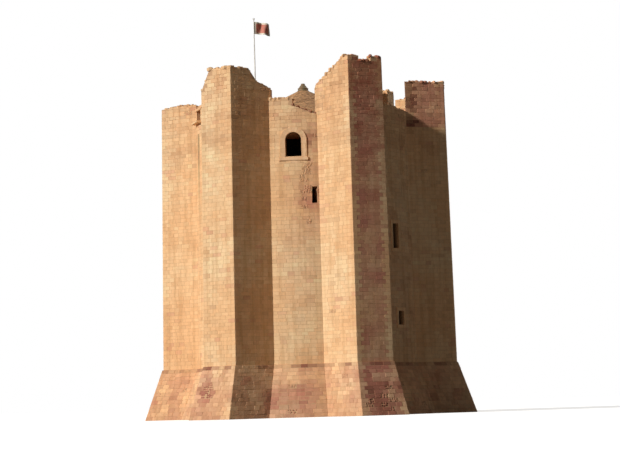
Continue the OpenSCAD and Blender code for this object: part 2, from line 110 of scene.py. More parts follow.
# Direction of each buttress in degrees, with its turret's worn heights above the wall-walk:
# at the face, behind it, at the root and at the inner wall
BUTTRESSES = {
    "front_left": (-120, (4.1, 4.1, 2.75, 2.6)),
    "front_right": (-60, (4.6, 4.4, 2.8, 2.6)),
    "right": (0, (3.8, 3.75, 3.75, 2.3)),
    "back_right": (60, (4.9, 4.8, 4.6, 4.3)),
    "back_left": (120, (3.6, 3.5, 3.3, 3.0)),
    "left": (180, (2.5, 2.6, 2.6, 2.45)),
}
# Direction of each wall between two buttresses, with its parapet's worn heights from left to right
BAYS = {
    "front": (-90, (1.78, 1.70, 1.12, 0.35)),
    "front_right": (-30, (1.5, 1.4, 1.35, 1.25)),
    "back_right": (30, (1.7, 1.5, 1.5, 1.6)),
    "back": (90, (1.65, 1.7, 1.3, 1.25)),
    "back_left": (150, (1.1, 1.35, 1.7, 1.75)),
    "front_left": (210, (2.15, 2.25, 1.9, 2.0)),
}
# Slits and loops: wall, turn from its middle in degrees, sill height, height
SLITS = [
    ("front_right", -4.4, 13.2, 2.0),
    ("front_right", -2.6, 7.1, 1.1),
    ("back_right", 0.0, 13.2, 2.0),
    ("back_right", 0.0, 7.1, 1.1),
    ("back", 0.0, 13.2, 2.0),
    ("back_left", 0.0, 13.2, 2.0),
    ("back_left", 0.0, 7.1, 1.1),
]
SLIT_HALF_W, SLIT_EDGE = 0.35, 0.26
WINDOW_HALF_W, WINDOW_EDGE = 0.635, 0.42
WINDOW_SILL, WINDOW_H = 20.3, 2.0
WINDOW_SPRING = WINDOW_SILL + WINDOW_H - WINDOW_HALF_W
# The sill stone under an arched window reaches past the jambs
SILL_HALF_W, SILL_H = WINDOW_HALF_W + WINDOW_EDGE * 1.25, WINDOW_EDGE * 0.6
DOORWAY_HALF_W, DOORWAY_EDGE = 0.75, 0.45
DOORWAY_Z, DOORWAY_H, LINTEL_H = 6.2, 2.4, 0.6
DRESSING_PROUD = 0.015
# Stair light beside the front right buttress: turn from the wall's middle in degrees, half width, foot, head
LIGHT_TURN, LIGHT_HALF_W, LIGHT_LOW, LIGHT_HIGH = 9.9, 0.21, 16.65, 17.95
# Opening through the front left parapet, in the same terms
LOOP_TURN, LOOP_HALF_W, LOOP_LOW, LOOP_HIGH = -6.5, 0.625, 24.3, 25.23
# Its sill and the flat stone over it: foot, head, half width and how far each stands out
LOOP_STONES = ((24.14, 24.315, 0.765, 0.375), (25.23, 25.42, 0.9, 0.04))
# The front left turret's walls step down inwards between two distances from the axis, and the left corner of
# its face is worn off
STEP_OUT, STEP_IN, STEP_H = 10.247, 9.597, 3.1
CORNER_W, CORNER_H = 0.9, 2.3
# Gap worn in the top of the front right turret's face
NOTCH_HALF_W, NOTCH_H = 0.525, 0.38
# Small arch left in the back right turret's flanks: half width and height of its springing
ARCH_HALF_W, ARCH_Z = 0.475, WALK_Z + 3.3
# Thickness of the masonry left on top of a turret's inner wall, at its foot
BROKEN_EDGE = 0.05
# Edges of the rings of flagstones on the wall-walk
PAVING_RINGS = (5.88, 6.42, 7.02, 7.6, 8.19)
# Height of a face that no worn top cuts off
ENDLESS = 1e3
# Width of the joints between dressed stones
FINE_JOINT = 0.008
# How far the courses of the turrets and parapets reach above the wall-walk
HEAD_H = 5.1
# Stones lower than this aren't laid: under or over an opening, and elsewhere
THIN, THIN_COURSE = 0.07, 0.08
# Mean height of the stones beside an opening
JAMB_H = 0.36
# Flagstones: shortest and longest on the wall-walk, mean length and width in the turrets
SLAB_SHORT, SLAB_LONG, SLAB_L, SLAB_W = 0.5, 0.95, 0.56, 0.42
# Least and greatest length, width and height of the broken stones on a turret's walls, on what is left of its
# inner wall and on a parapet
TURRET_LUMPS = ((0.24, 0.5), (0.22, 0.4), (0.14, 0.3))
INNER_LUMPS = ((0.12, 0.2), (0.2, 0.34), (0.12, 0.2))
PARAPET_LUMPS = ((0.26, 0.46), (0.24, 0.4), (0.14, 0.28))
# Steps between their rows: metres on a turret, radians on a parapet
TURRET_STEP, PARAPET_STEP = 0.33, 0.038
# How uneven a stone's tooled face is
UNEVEN = 0.003
# The arms of a corner stone
LONG_SHORT = (0.62, 0.36)
# Foot and middle of the dull band below the wall-walk
DULL_LOW, DULL_Z = 20.8, 21.9
# Profiles of turned pieces, from foot to top
# The cap's skirt: how much wider than the cap, height over its foot
CAP_SKIRT = (
    (-0.01, -0.01), (0.05, 0.005), (0.055, 0.03), (0.01, 0.05), (0.004, 0.19), (0.02, 0.205), (0.018, 0.235),
    (-0.06, 0.29),
)
# The cap's shoulder and knob: share of the cap's radius, height over its foot
CAP_KNOB = ((0.62, 0.44), (0.4, 0.55), (0.36, 0.6), (0.4, 0.615), (0.38, 0.64), (0.2, 0.66), (0.0, 0.665))
# The pole's knob, its shoe and the shoe's bolts: radius, height over the pole's top or foot
POLE_KNOB = (
    (0.0, -0.01), (0.05, -0.01), (0.062, 0.004), (0.05, 0.02), (0.075, 0.05), (0.085, 0.085), (0.075, 0.12),
    (0.045, 0.145), (0.0, 0.155),
)
POLE_SHOE = (
    (0.0, 0.002), (0.2, 0.002), (0.2, 0.022), (0.1, 0.03), (0.092, 0.06), (0.086, 0.4), (0.078, 0.42),
    (0.066, 0.42),
)
SHOE_BOLT = ((0.0, 0.018), (0.02, 0.02), (0.02, 0.036), (0.012, 0.042), (0.0, 0.043))
BOLTS_R = 0.16
# Width of the flag's border
BORDER_W = 0.13


def srgb(code):
    """Linear red, green and blue of an sRGB hex colour."""
    parts = [int(code[i : i + 2], 16) / 255 for i in (1, 3, 5)]
    return tuple(c / 12.92 if c <= 0.04045 else ((c + 0.055) / 1.055) ** 2.4 for c in parts)


def colour(name, description, code):
    """A colour for a property group, from its sRGB hex value."""
    return FloatVectorProperty(
        name=name, description=description, subtype="COLOR", size=3, min=0, max=1, default=srgb(code)
    )


def length(name, description, default, low, high):
    """A length for a property group, in metres."""
    return FloatProperty(
        name=name, description=description, default=default, min=low, max=high, unit="LENGTH", precision=3
    )


class MasonryLook(bpy.types.PropertyGroup):
    """Sizes and colours of the stones."""

    course: length("Course height", "Mean height of a course of stones", 0.3, 0.2, 0.5)
    short: length("Shortest stone", "Length of the shortest stones in a course", 0.38, 0.2, 0.6)
    long: length("Longest stone", "Length of the longest stones in a course", 0.78, 0.5, 1.2)
    joint: length("Joint", "Width of the mortar joints", 0.011, 0.004, 0.04)
    proud: length("Stands proud", "How far a stone stands out from the mortar at most", 0.015, 0.01, 0.04)
    worn_edge: length("Worn edge", "Width of the worn edge round a stone", 0.011, 0.003, 0.03)
    honey: colour("Honey", "Colour of most stones", "#F5C38F")
    pale: colour("Pale", "Colour of the freshest stones", "#FAD5A5")
    tan: colour("Tan", "Colour of the browner stones", "#E8B27F")
    brown: colour("Brown", "Colour of weathered stones", "#9A6650")
    rose: colour("Rose", "Colour of the reddest stones", "#D89078")
    dressed: colour("Dressed", "Colour of the dressed stones round openings", "#F9D3AE")
    mortar: colour("Mortar", "Colour of the lime mortar", "#D9AD83")
    paving: colour("Paving", "Colour of the flagstones", "#B79C7A")


class RoofLook(bpy.types.PropertyGroup):
    """Sizes and colours of the roof."""

    shingle_w: length("Shingle width", "Mean width of a shingle", 0.17, 0.1, 0.3)
    exposure: length("Exposure", "Length of shingle left showing in each course", 0.15, 0.08, 0.25)
    shingle_t: length("Shingle thickness", "Thickness of a shingle at its lower end", 0.016, 0.008, 0.03)
    shingle: colour("Shingles", "Colour of most of the weathered oak shingles", "#D9AA7B")
    dark_shingle: colour("Dark shingles", "Colour of the darkest shingles", "#A77E5B")
    copper: colour("Copper", "Colour of the cap's brown weathered copper", "#7A6040")
    oak: colour("Oak", "Colour of the oak under the roof and the floors", "#7D5C3E")


class FlagLook(bpy.types.PropertyGroup):
    """Sizes and colours of the flag and its pole."""

    width: length("Flag width", "Width of the cloth from the pole to its free edge", 1.5, 1.0, 1.8)
    height: length("Flag height", "Height of the cloth", 1.0, 0.7, 1.2)
    field: colour("Field", "Colour of the flag's field", "#C9705C")
    border: colour("Border", "Colour of the flag's border", "#EADFC8")
    paint: colour("Pole", "Colour of the pole's weathered paint", "#E6E1D6")


class StageLook(bpy.types.PropertyGroup):
    """The floor, lamps and camera."""

    floor: colour("Floor", "Colour of the plain floor", "#EDEAE4")
    key: FloatProperty(name="Key lamp", description="Strength of the large lamp", default=3.5, min=0, max=10)
    fill: FloatProperty(name="Fill", description="Strength of the even light", default=0.07, min=0, max=2)
    lens: FloatProperty(
        name="Lens", description="Focal length", default=104.5, min=20, max=300, unit="CAMERA"
    )


# Output and settings of a node that mixes two colours, plainly or by darkening the first with the second
MIXING = {"out": 2, "data_type": "RGBA", "clamp_factor": True}
DARKENING = {**MIXING, "blend_type": "MULTIPLY"}
WHITE = (1, 1, 1)


def feed(tree, node, inputs):
    """Gives a node's inputs, by place or by name, a value or the socket that feeds them."""
    for key, value in inputs.items() if isinstance(inputs, dict) else enumerate(inputs):
        socket = node.inputs[key]
        if isinstance(value, bpy.types.NodeSocket):
            tree.links.new(value, socket)
        else:
            socket.default_value = (*value, 1) if socket.type == "RGBA" and len(value) == 3 else value


def add(tree, kind, inputs=(), out=0, stops=(), **settings):
    """Adds a node with its inputs, a colour ramp's stops and its settings, and gives one of its outputs."""
    node = tree.nodes.new("ShaderNode" + kind)
    for key, value in settings.items():
        setattr(node, key, value)
    feed(tree, node, inputs)
    for k, (place, shade) in enumerate(stops):
        element = node.color_ramp.elements[k]
        element.position = place
        element.color = (*shade, 1) if isinstance(shade, tuple) else (shade, shade, shade, 1)
    return node.outputs[out] if node.outputs else None


def finished(name, recipe, *choices):
    """The material of that name, made on first use. Its recipe gives its colour, its relief as height,
    strength and depth, and its shader's other values."""
    if name in bpy.data.materials:
        return bpy.data.materials[name]
    material = bpy.data.materials.new(name)
    material.use_nodes = True
    tree = material.node_tree
    base, relief, values = recipe(tree, add(tree, "TexCoord", out="Object"), *choices)
    if relief:
        values["Normal"] = add(tree, "Bump", dict(zip(("Height", "Strength", "Distance"), relief)))
    feed(tree, tree.nodes["Principled BSDF"], {"Base Color": base, **values})
    return material


def mottled(tree, base, share, pattern, dark, low, high, **settings):
    """Colour base darkened where a noise pattern is low, and the pattern itself."""
    patches = add(tree, "TexNoise", pattern, **settings)
    shade = add(tree, "ValToRGB", (patches,), stops=[(low, dark), (high, 1.0)])
    return add(tree, "Mix", {0: share, 6: base, 7: shade}, **DARKENING), patches


def from_axis(tree, place):
    """A place's distance from the tower's axis."""
    flat = add(tree, "VectorMath", (place, (1, 1, 0)), operation="MULTIPLY")
    return add(tree, "VectorMath", (flat,), "Value", operation="LENGTH")


def soiled_face_and_painted_warm_light(tree, place, base, degrees):
    """Dark reddish colour on one buttress's outer face, thick at its top and thinning out downwards, with
    pale spots where the stone has spalled: blotchy soiling, whose red hue is painted warm grazing light."""
    a = math.radians(degrees)
    height = add(tree, "SeparateXYZ", (place,), "Z")
    out = add(tree, "VectorMath", (place, (math.cos(a), math.sin(a), 0)), "Value", operation="DOT_PRODUCT")
    upright = add(tree, "Math", (height, BATTER, out), operation="MULTIPLY_ADD")
    # Blotches about 1.1 m across and spalls of about 400 mm
    blotches = add(tree, "TexNoise", {"Vector": place, "Scale": 0.9, "Detail": 6.0, "Roughness": 0.65})
    spalls = add(tree, "TexNoise", {"Vector": place, "Scale": 2.6, "Detail": 2.0})
    face_x = REACH + BATTER * PLINTH_H
    factor = add(tree, "MapRange", (upright, face_x - 0.03, face_x + 0.004))
    high, thick = (height, 14.0, 25.0, 0.18, 1.0), (blotches, 0.36, 0.6, 0.15, 0.75)
    whole = (spalls, 0.64, 0.67, 1.0, 0.3)
    for span in (high, thick, whole):
        factor = add(tree, "Math", (factor, add(tree, "MapRange", span)), operation="MULTIPLY")
    # Red-brown: soiling, with a red hue that is painted warm grazing light on this face
    return add(tree, "Mix", {0: factor, 6: base, 7: srgb("#A4553F")}, **MIXING)


def damp_streak(tree, place, base, angle, half_w, low, high):
    """Dark green-brown algae below an opening, where rain runs down the wall; angle is its direction."""
    height = add(tree, "SeparateXYZ", (place,), "Z")
    beside = add(
        tree, "VectorMath", (place, (-math.sin(angle), math.cos(angle), 0)), "Value", operation="DOT_PRODUCT"
    )
    away = add(tree, "Math", (beside,), operation="ABSOLUTE")
    # Its edges waver every 400 mm or so
    wobble = add(tree, "TexNoise", {"Vector": place, "Scale": 2.5, "Detail": 3.0})
    away = add(tree, "Math", (wobble, half_w * 0.9, away), operation="MULTIPLY_ADD")
    across = add(tree, "MapRange", (away, half_w * 0.7, half_w * 1.5, 1.0, 0.0))
    down = add(tree, "MapRange", (height, low, high, 0.0, 1.0))
    factor = add(tree, "Math", (across, down), operation="MULTIPLY")
    factor = add(tree, "Math", (factor, 0.6), operation="MULTIPLY")
    return add(tree, "Mix", {0: factor, 6: base, 7: srgb("#6E6240")}, **MIXING)


def limestone(tree, place, change=None, *details):
    """Coursed magnesian limestone, tooled flat and weathered for centuries: a warm honey stone whose colour
    changes from block to block, chalky and rough, with rain streaks and finer mottling over it."""
    base = add(tree, "Attribute", attribute_name="tint")
    # Mottling about 250 mm across, the size of lichen and wet patches on a block
    patches = {"Vector": place, "Scale": 4.0, "Detail": 5.0, "Roughness": 0.62}
    base, _ = mottled(tree, base, 0.75, patches, 0.84, 0.3, 0.7)
    # Rain streaks: about 300 mm wide and several metres long
    tall = add(tree, "Mapping", {"Vector": place, "Scale": (3.2, 3.2, 0.16)})
    runs = {"Vector": tall, "Scale": 1.0, "Detail": 4.0}
    base, _ = mottled(tree, base, 0.5, runs, (0.78, 0.70, 0.62), 0.34, 0.54)
    if change:
        base = change(tree, place, base, *details)
    # The tooled face and its pits, 5 to 40 mm, drawn coarse enough to show
    pits = add(tree, "TexNoise", {"Vector": place, "Scale": 26.0, "Detail": 6.0, "Roughness": 0.7})
    return base, (pits, 0.55, 0.012), {"Roughness": 0.92, "Specular IOR Level": 0.06}


def rubble_lining(tree, place, look):
    """Mortar outside and, within the rooms' radius, the roughly coursed stones that line them, with the depth
    of their joints."""
    parts = add(tree, "SeparateXYZ", (place,)).node.outputs
    turn = add(tree, "Math", (parts["Y"], parts["X"]), operation="ARCTAN2")
    # Stones 0.5 m long in courses of 0.28 m, on a room about 5 m in radius
    around = add(tree, "Math", (turn, 5.0), operation="MULTIPLY")
    wall = {
        "Vector": add(tree, "CombineXYZ", (around, parts["Z"])),
        "Color1": look.tan,
        "Color2": look.honey,
        "Mortar": look.mortar,
        "Scale": 1.0,
        "Mortar Size": 0.016,
        "Mortar Smooth": 0.4,
        "Brick Width": 0.5,
        "Row Height": 0.28,
    }
    stones = add(tree, "TexBrick", wall, offset=0.43)
    inside = add(tree, "MapRange", (from_axis(tree, place), 8.3, 8.5, 1.0, 0.0))
    joints = add(tree, "Math", (inside, stones.node.outputs["Fac"]), operation="MULTIPLY")
    return add(tree, "Mix", {0: inside, 6: look.mortar, 7: stones}, **MIXING), joints


def lime_mortar(tree, place, rubble=False):
    """Lime mortar, struck with a trowel: a sandy, slightly darker ground between the stones. With rubble, the
    rooms' faces show the roughly coursed stones that line them."""
    look = bpy.context.scene.keep_masonry
    shade, joints = rubble_lining(tree, place, look) if rubble else (look.mortar, 0.0)
    # Sandy patches about 110 mm across, with grains of some 2 mm, drawn coarse enough to show
    sand = {"Vector": place, "Scale": 9.0, "Detail": 6.0, "Roughness": 0.65}
    base, grains = mottled(tree, shade, 1.0, sand, 0.72, 0.3, 0.7)
    height = add(tree, "Math", (grains, joints), operation="SUBTRACT")
    return base, (height, 0.5, 0.015), {"Roughness": 0.97, "Specular IOR Level": 0.05}


def smoothed_stone(tree, place, shade, scale, deep=False):
    """Limestone rubbed smooth, as slabs and round openings: finer than the walls' stones, with dark spots
    1 / scale metres across. With deep, painted shade darkens it from the wall's face inwards, in the reveals."""
    spots = {"Vector": place, "Scale": scale, "Detail": 6.0, "Roughness": 0.6}
    base, height = mottled(tree, shade, 1.0, spots, 0.68, 0.32, 0.66)
    if deep:
        # Distance from the axis, made up for the wall's lean: 9.40 at its outer face
        up = add(tree, "SeparateXYZ", (place,), "Z")
        upright = add(tree, "Math", (up, BATTER, from_axis(tree, place)), operation="MULTIPLY_ADD")
        # Painted shade: the reveals turn near black a little way in from the wall's face
        painted_reveal_shade = add(tree, "MapRange", (upright, 8.95, 9.33, 0.93, 0.0))
        base = add(tree, "Mix", {0: painted_reveal_shade, 6: base, 7: srgb("#3A2C24")}, **MIXING)
    return base, (height, 0.4, 0.01), {"Roughness": 0.85, "Specular IOR Level": 0.08}


def sawn_oak(tree, place, boards=False):
    """Sawn oak, dark with age: brown, with grain that runs along X; as boards it is cut every 220 mm."""
    # Grain 12 mm wide and about 1 m long
    along = add(tree, "Mapping", {"Vector": place, "Scale": (1.2, 40.0, 14.0)})
    grain = {"Vector": along, "Scale": 1.0, "Detail": 5.0, "Distortion": 0.6}
    base, height = mottled(tree, bpy.context.scene.keep_roof.oak, 1.0, grain, 0.55, 0.3, 0.7)
    if boards:
        planks = {
            "Vector": place,
            "Color1": WHITE,
            "Color2": (0.72, 0.72, 0.72),
            "Mortar": (0.1, 0.1, 0.1),
            "Scale": 1.0,
            "Mortar Size": 0.006,
            "Brick Width": 3.2,
            "Row Height": 0.22,
        }
        gaps = add(tree, "TexBrick", planks)
        base = add(tree, "Mix", {0: 1.0, 6: base, 7: gaps}, **DARKENING)
        height = add(tree, "Math", (height, gaps.node.outputs["Fac"]), operation="SUBTRACT")
    return base, (height, 0.35, 0.006), {"Roughness": 0.78, "Specular IOR Level": 0.2}


def oak_shingles(tree, place):
    """Cleft oak shingles, bleached by the sun: tan, each a little different, with fine split grain that runs
    up the slope."""
    tint = add(tree, "Attribute", attribute_name="tint")
    parts = add(tree, "SeparateXYZ", (place,)).node.outputs
    turn = add(tree, "Math", (parts["Y"], parts["X"]), operation="ARCTAN2")
    # Grain about 15 mm wide at the middle of the slope
    around = add(tree, "Math", (turn, 220.0), operation="MULTIPLY")
    split = {"Vector": add(tree, "CombineXYZ", (around, parts["Z"])), "Scale": 1.0, "Detail": 4.0}
    base, grain = mottled(tree, tint, 0.8, split, 0.66, 0.3, 0.7)
    return base, (grain, 0.4, 0.004), {"Roughness": 0.82, "Specular IOR Level": 0.1}


def blotched(tree, pattern, low, high, shade, other):
    """Colour that turns to another where a noise pattern is high, the share of the other and the pattern."""
    blotches = add(tree, "TexNoise", pattern)
    share = add(tree, "MapRange", (blotches, low, high))
    return add(tree, "Mix", {0: share, 6: shade, 7: srgb(other)}, **MIXING), share, blotches


def weathered_copper(tree, place):
    """Sheet copper, beaten and left to the rain: a matt brown coat, olive green where rain stands on it."""
    # Runs of rain about 110 mm wide and 500 mm long
    tall = add(tree, "Mapping", {"Vector": place, "Scale": (9.0, 9.0, 2.0)})
    rain = {"Vector": tall, "Scale": 1.0, "Detail": 5.0}
    base, _, coat = blotched(tree, rain, 0.5, 0.68, bpy.context.scene.keep_roof.copper, "#5A6248")
    return base, (coat, 0.3, 0.01), {"Metallic": 0.25, "Roughness": 0.6}


def pole_paint(tree, place):
    """White oil paint on a turned spruce pole: chalky, with grey cracks that run up the pole."""
    # Cracks about 17 mm apart and 700 mm long
    tall = add(tree, "Mapping", {"Vector": place, "Scale": (60.0, 60.0, 1.5)})
    wear = {"Vector": tall, "Scale": 1.0, "Detail": 4.0}
    base, _, cracks = blotched(tree, wear, 0.56, 0.68, bpy.context.scene.keep_flag.paint, "#A79C8B")
    return base, (cracks, 0.2, 0.002), {"Roughness": 0.55}


def forged_iron(tree, place):
    """Forged iron under black paint: dark, a little glossy where it is whole, rusty brown in patches."""
    # Rust in patches about 70 mm across
    patches = {"Vector": place, "Scale": 14.0, "Detail": 5.0}
    base, rust, _ = blotched(tree, patches, 0.5, 0.62, srgb("#2E2B29"), "#6A4028")
    rough = add(tree, "MapRange", {"Value": rust, "To Min": 0.5, "To Max": 0.9})
    return base, None, {"Roughness": rough, "Metallic": 0.6}


def bunting(tree, place, shade):
    """Woven wool bunting: a matt cloth with a plain weave, soft at its edge to the light. The threads are
    drawn 6 mm apart, wider than they are, so that they show."""
    threads = []
    for axis in ((1, 0, 0), (0, 0, 1)):
        along = add(tree, "VectorMath", (place, axis), "Value", operation="DOT_PRODUCT")
        phase = add(tree, "Math", (along, 2 * math.pi / 0.006), operation="MULTIPLY")
        threads.append(add(tree, "Math", (phase,), operation="SINE"))
    weave = add(tree, "Math", threads, operation="MULTIPLY")
    # Faded in patches about 330 mm across
    fade = add(tree, "TexNoise", {"Vector": place, "Scale": 3.0, "Detail": 3.0})
    faded = add(tree, "MapRange", (fade, 0.3, 0.8, 0.0, 0.35))
    base = add(tree, "Mix", {0: faded, 6: shade, 7: srgb("#E3CDB8")}, **MIXING)
    return base, (weave, 0.25, 0.002), {"Roughness": 0.9, "Specular IOR Level": 0.1, "Sheen Weight": 0.2}


def blend_colours(a, b, t):
    """Colour t of the way from a to b, t kept between 0 and 1."""
    t = min(1.0, max(0.0, t))
    return tuple(p + (q - p) * t for p, q in zip(a, b))


def varied(rng, shade, spread, most=0.95):
    """A colour made a little lighter or darker by chance, with no part over most."""
    light = rng.gauss(1.0, spread)
    return tuple(min(most, max(0.0, c * light)) for c in shade)


def rectangle(left, right, low, high):
    """Corners of a squared stone, anticlockwise from the lower left."""
    return [(left, low), (right, low), (right, high), (left, high)]


def pulled_in(corners, by):
    """The corners of an outline, moved in from its edges."""
    moved = []
    for i, (x, y) in enumerate(corners):
        step = [0.0, 0.0]
        for px, py in (corners[i - 1], corners[(i + 1) % len(corners)]):
            far = math.hypot(px - x, py - y)
            if far > 1e-6:
                step[0] += (px - x) / far
                step[1] += (py - y) / far
        moved.append((x + step[0] * by, y + step[1] * by))
    return moved


def levels(rng, low, high, mean):
    """Heights of the joints between courses of slightly different height."""
    parts = [rng.uniform(0.86, 1.14) for _ in range(max(1, round((high - low) / mean)))]
    scale, made = (high - low) / sum(parts), [low]
    for part in parts:
        made.append(made[-1] + part * scale)
    return made[:-1] + [high]


def cuts(rng, a, b, short, long):
    """Places of the upright joints between a and b."""
    made = [a]
    while b - made[-1] > long * 1.25:
        made.append(made[-1] + rng.uniform(short, long))
    if b - made[-1] > long:
        made.append((made[-1] + b) / 2)
    return made + [b]


def numbered(values):
    """Each value with the next one, numbered."""
    return [(k, *pair) for k, pair in enumerate(zip(values, values[1:]))]


def courses(part):
    """Number, foot and top of each course of a part of the keep. Their joints run round the whole tower."""
    rng, mean = random.Random(11), bpy.context.scene.keep_masonry.course
    made = {
        "plinth": levels(rng, 0.0, PLINTH_H, mean * 1.08),
        "shaft": levels(rng, PLINTH_H, WALK_Z, mean),
        "head": levels(rng, WALK_Z, WALK_Z + HEAD_H, mean),
    }
    return numbered(made[part])


def lower_courses():
    """The courses below the wall-walk, each with its roughness and the share of its stones that are lost."""
    for part, rough, gaps in (("plinth", 1.6, 0.012), ("shaft", 1.0, 0.002)):
        for course in courses(part):
            yield course, rough, gaps


def at(value, *where):
    """A fixed value, or a function's value at a place."""
    return value(*where) if callable(value) else value


def turned(degrees):
    """Turns a point of a buttress's or wall's own plan, with +x outwards, into the keep's plan."""
    c, s = math.cos(math.radians(degrees)), math.sin(math.radians(degrees))
    return lambda x, y: (x * c - y * s, x * s + y * c)


def flat_place(degrees, corner, direction):
    """Places on a flat face that passes through a corner, fixed or a function of height, and runs in a
    direction of the plan."""
    turn, (ux, uy) = turned(degrees), direction

    def place(s, z, out):
        x, y = at(corner, z)
        return (*turn(x + ux * s + uy * out, y + uy * s - ux * out), z)

    return place


def round_place(degrees, radius, reference, inward=False):
    """Places on a round face; distances along it are true at the reference radius."""
    start, way = math.radians(degrees), -1 if inward else 1

    def place(s, z, out):
        a, r = start + way * s / reference, at(radius, z) + way * out
        return (r * math.cos(a), r * math.sin(a), z)

    return place


class Hole:
    """An opening in a face: square-headed, or with a round arch over its springing."""

    def __init__(self, middle, half_w, low, high, spring=math.inf):
        self.middle, self.half_w, self.low, self.high, self.spring = middle, half_w, low, high, spring

    def half(self, z):
        """Half its width at height z."""
        if z <= self.spring:
            return self.half_w
        return math.sqrt(max(0.0, self.half_w * self.half_w - (z - self.spring) ** 2))

    def left(self, z):
        return self.middle - self.half(z)

    def right(self, z):
        return self.middle + self.half(z)


class Face:
    """One face of the masonry. Distances along it grow to the right as seen from in front of it. Its ends may
    be functions of course and height, and its worn top a function of the distance."""

    def __init__(self, place, left, right, top=ENDLESS, holes=(), low=-1.0):
        self.place, self.left, self.right = place, left, right
        self.top, self.holes, self.low = top, holes, low

    def spans(self, course, z0, z1):
        """The parts of a course that the openings leave: two ends as functions of height, foot and top."""
        made = [(lambda z: at(self.left, course, z), lambda z: at(self.right, course, z), z0, z1)]
        for hole in self.holes:
            if hole.high <= z0 + 0.02 or hole.low >= z1 - 0.02:
                continue
            whole, made = made, []
            for left, right, low, high in whole:
                made += [(left, hole.left, low, high), (hole.right, right, low, high)]
            if hole.low - z0 > THIN:
                made.append((hole.left, hole.right, z0, hole.low))
            if z1 - hole.high > THIN and hole.half(hole.high) > 0.1:
                made.append((hole.left, hole.right, hole.high, z1))
        return made


def new_piece(name, mesh):
    """A piece of the keep that rides on it."""
    piece = bpy.data.objects.new(name, mesh)
    bpy.context.scene.collection.objects.link(piece)
    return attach(piece, "root")


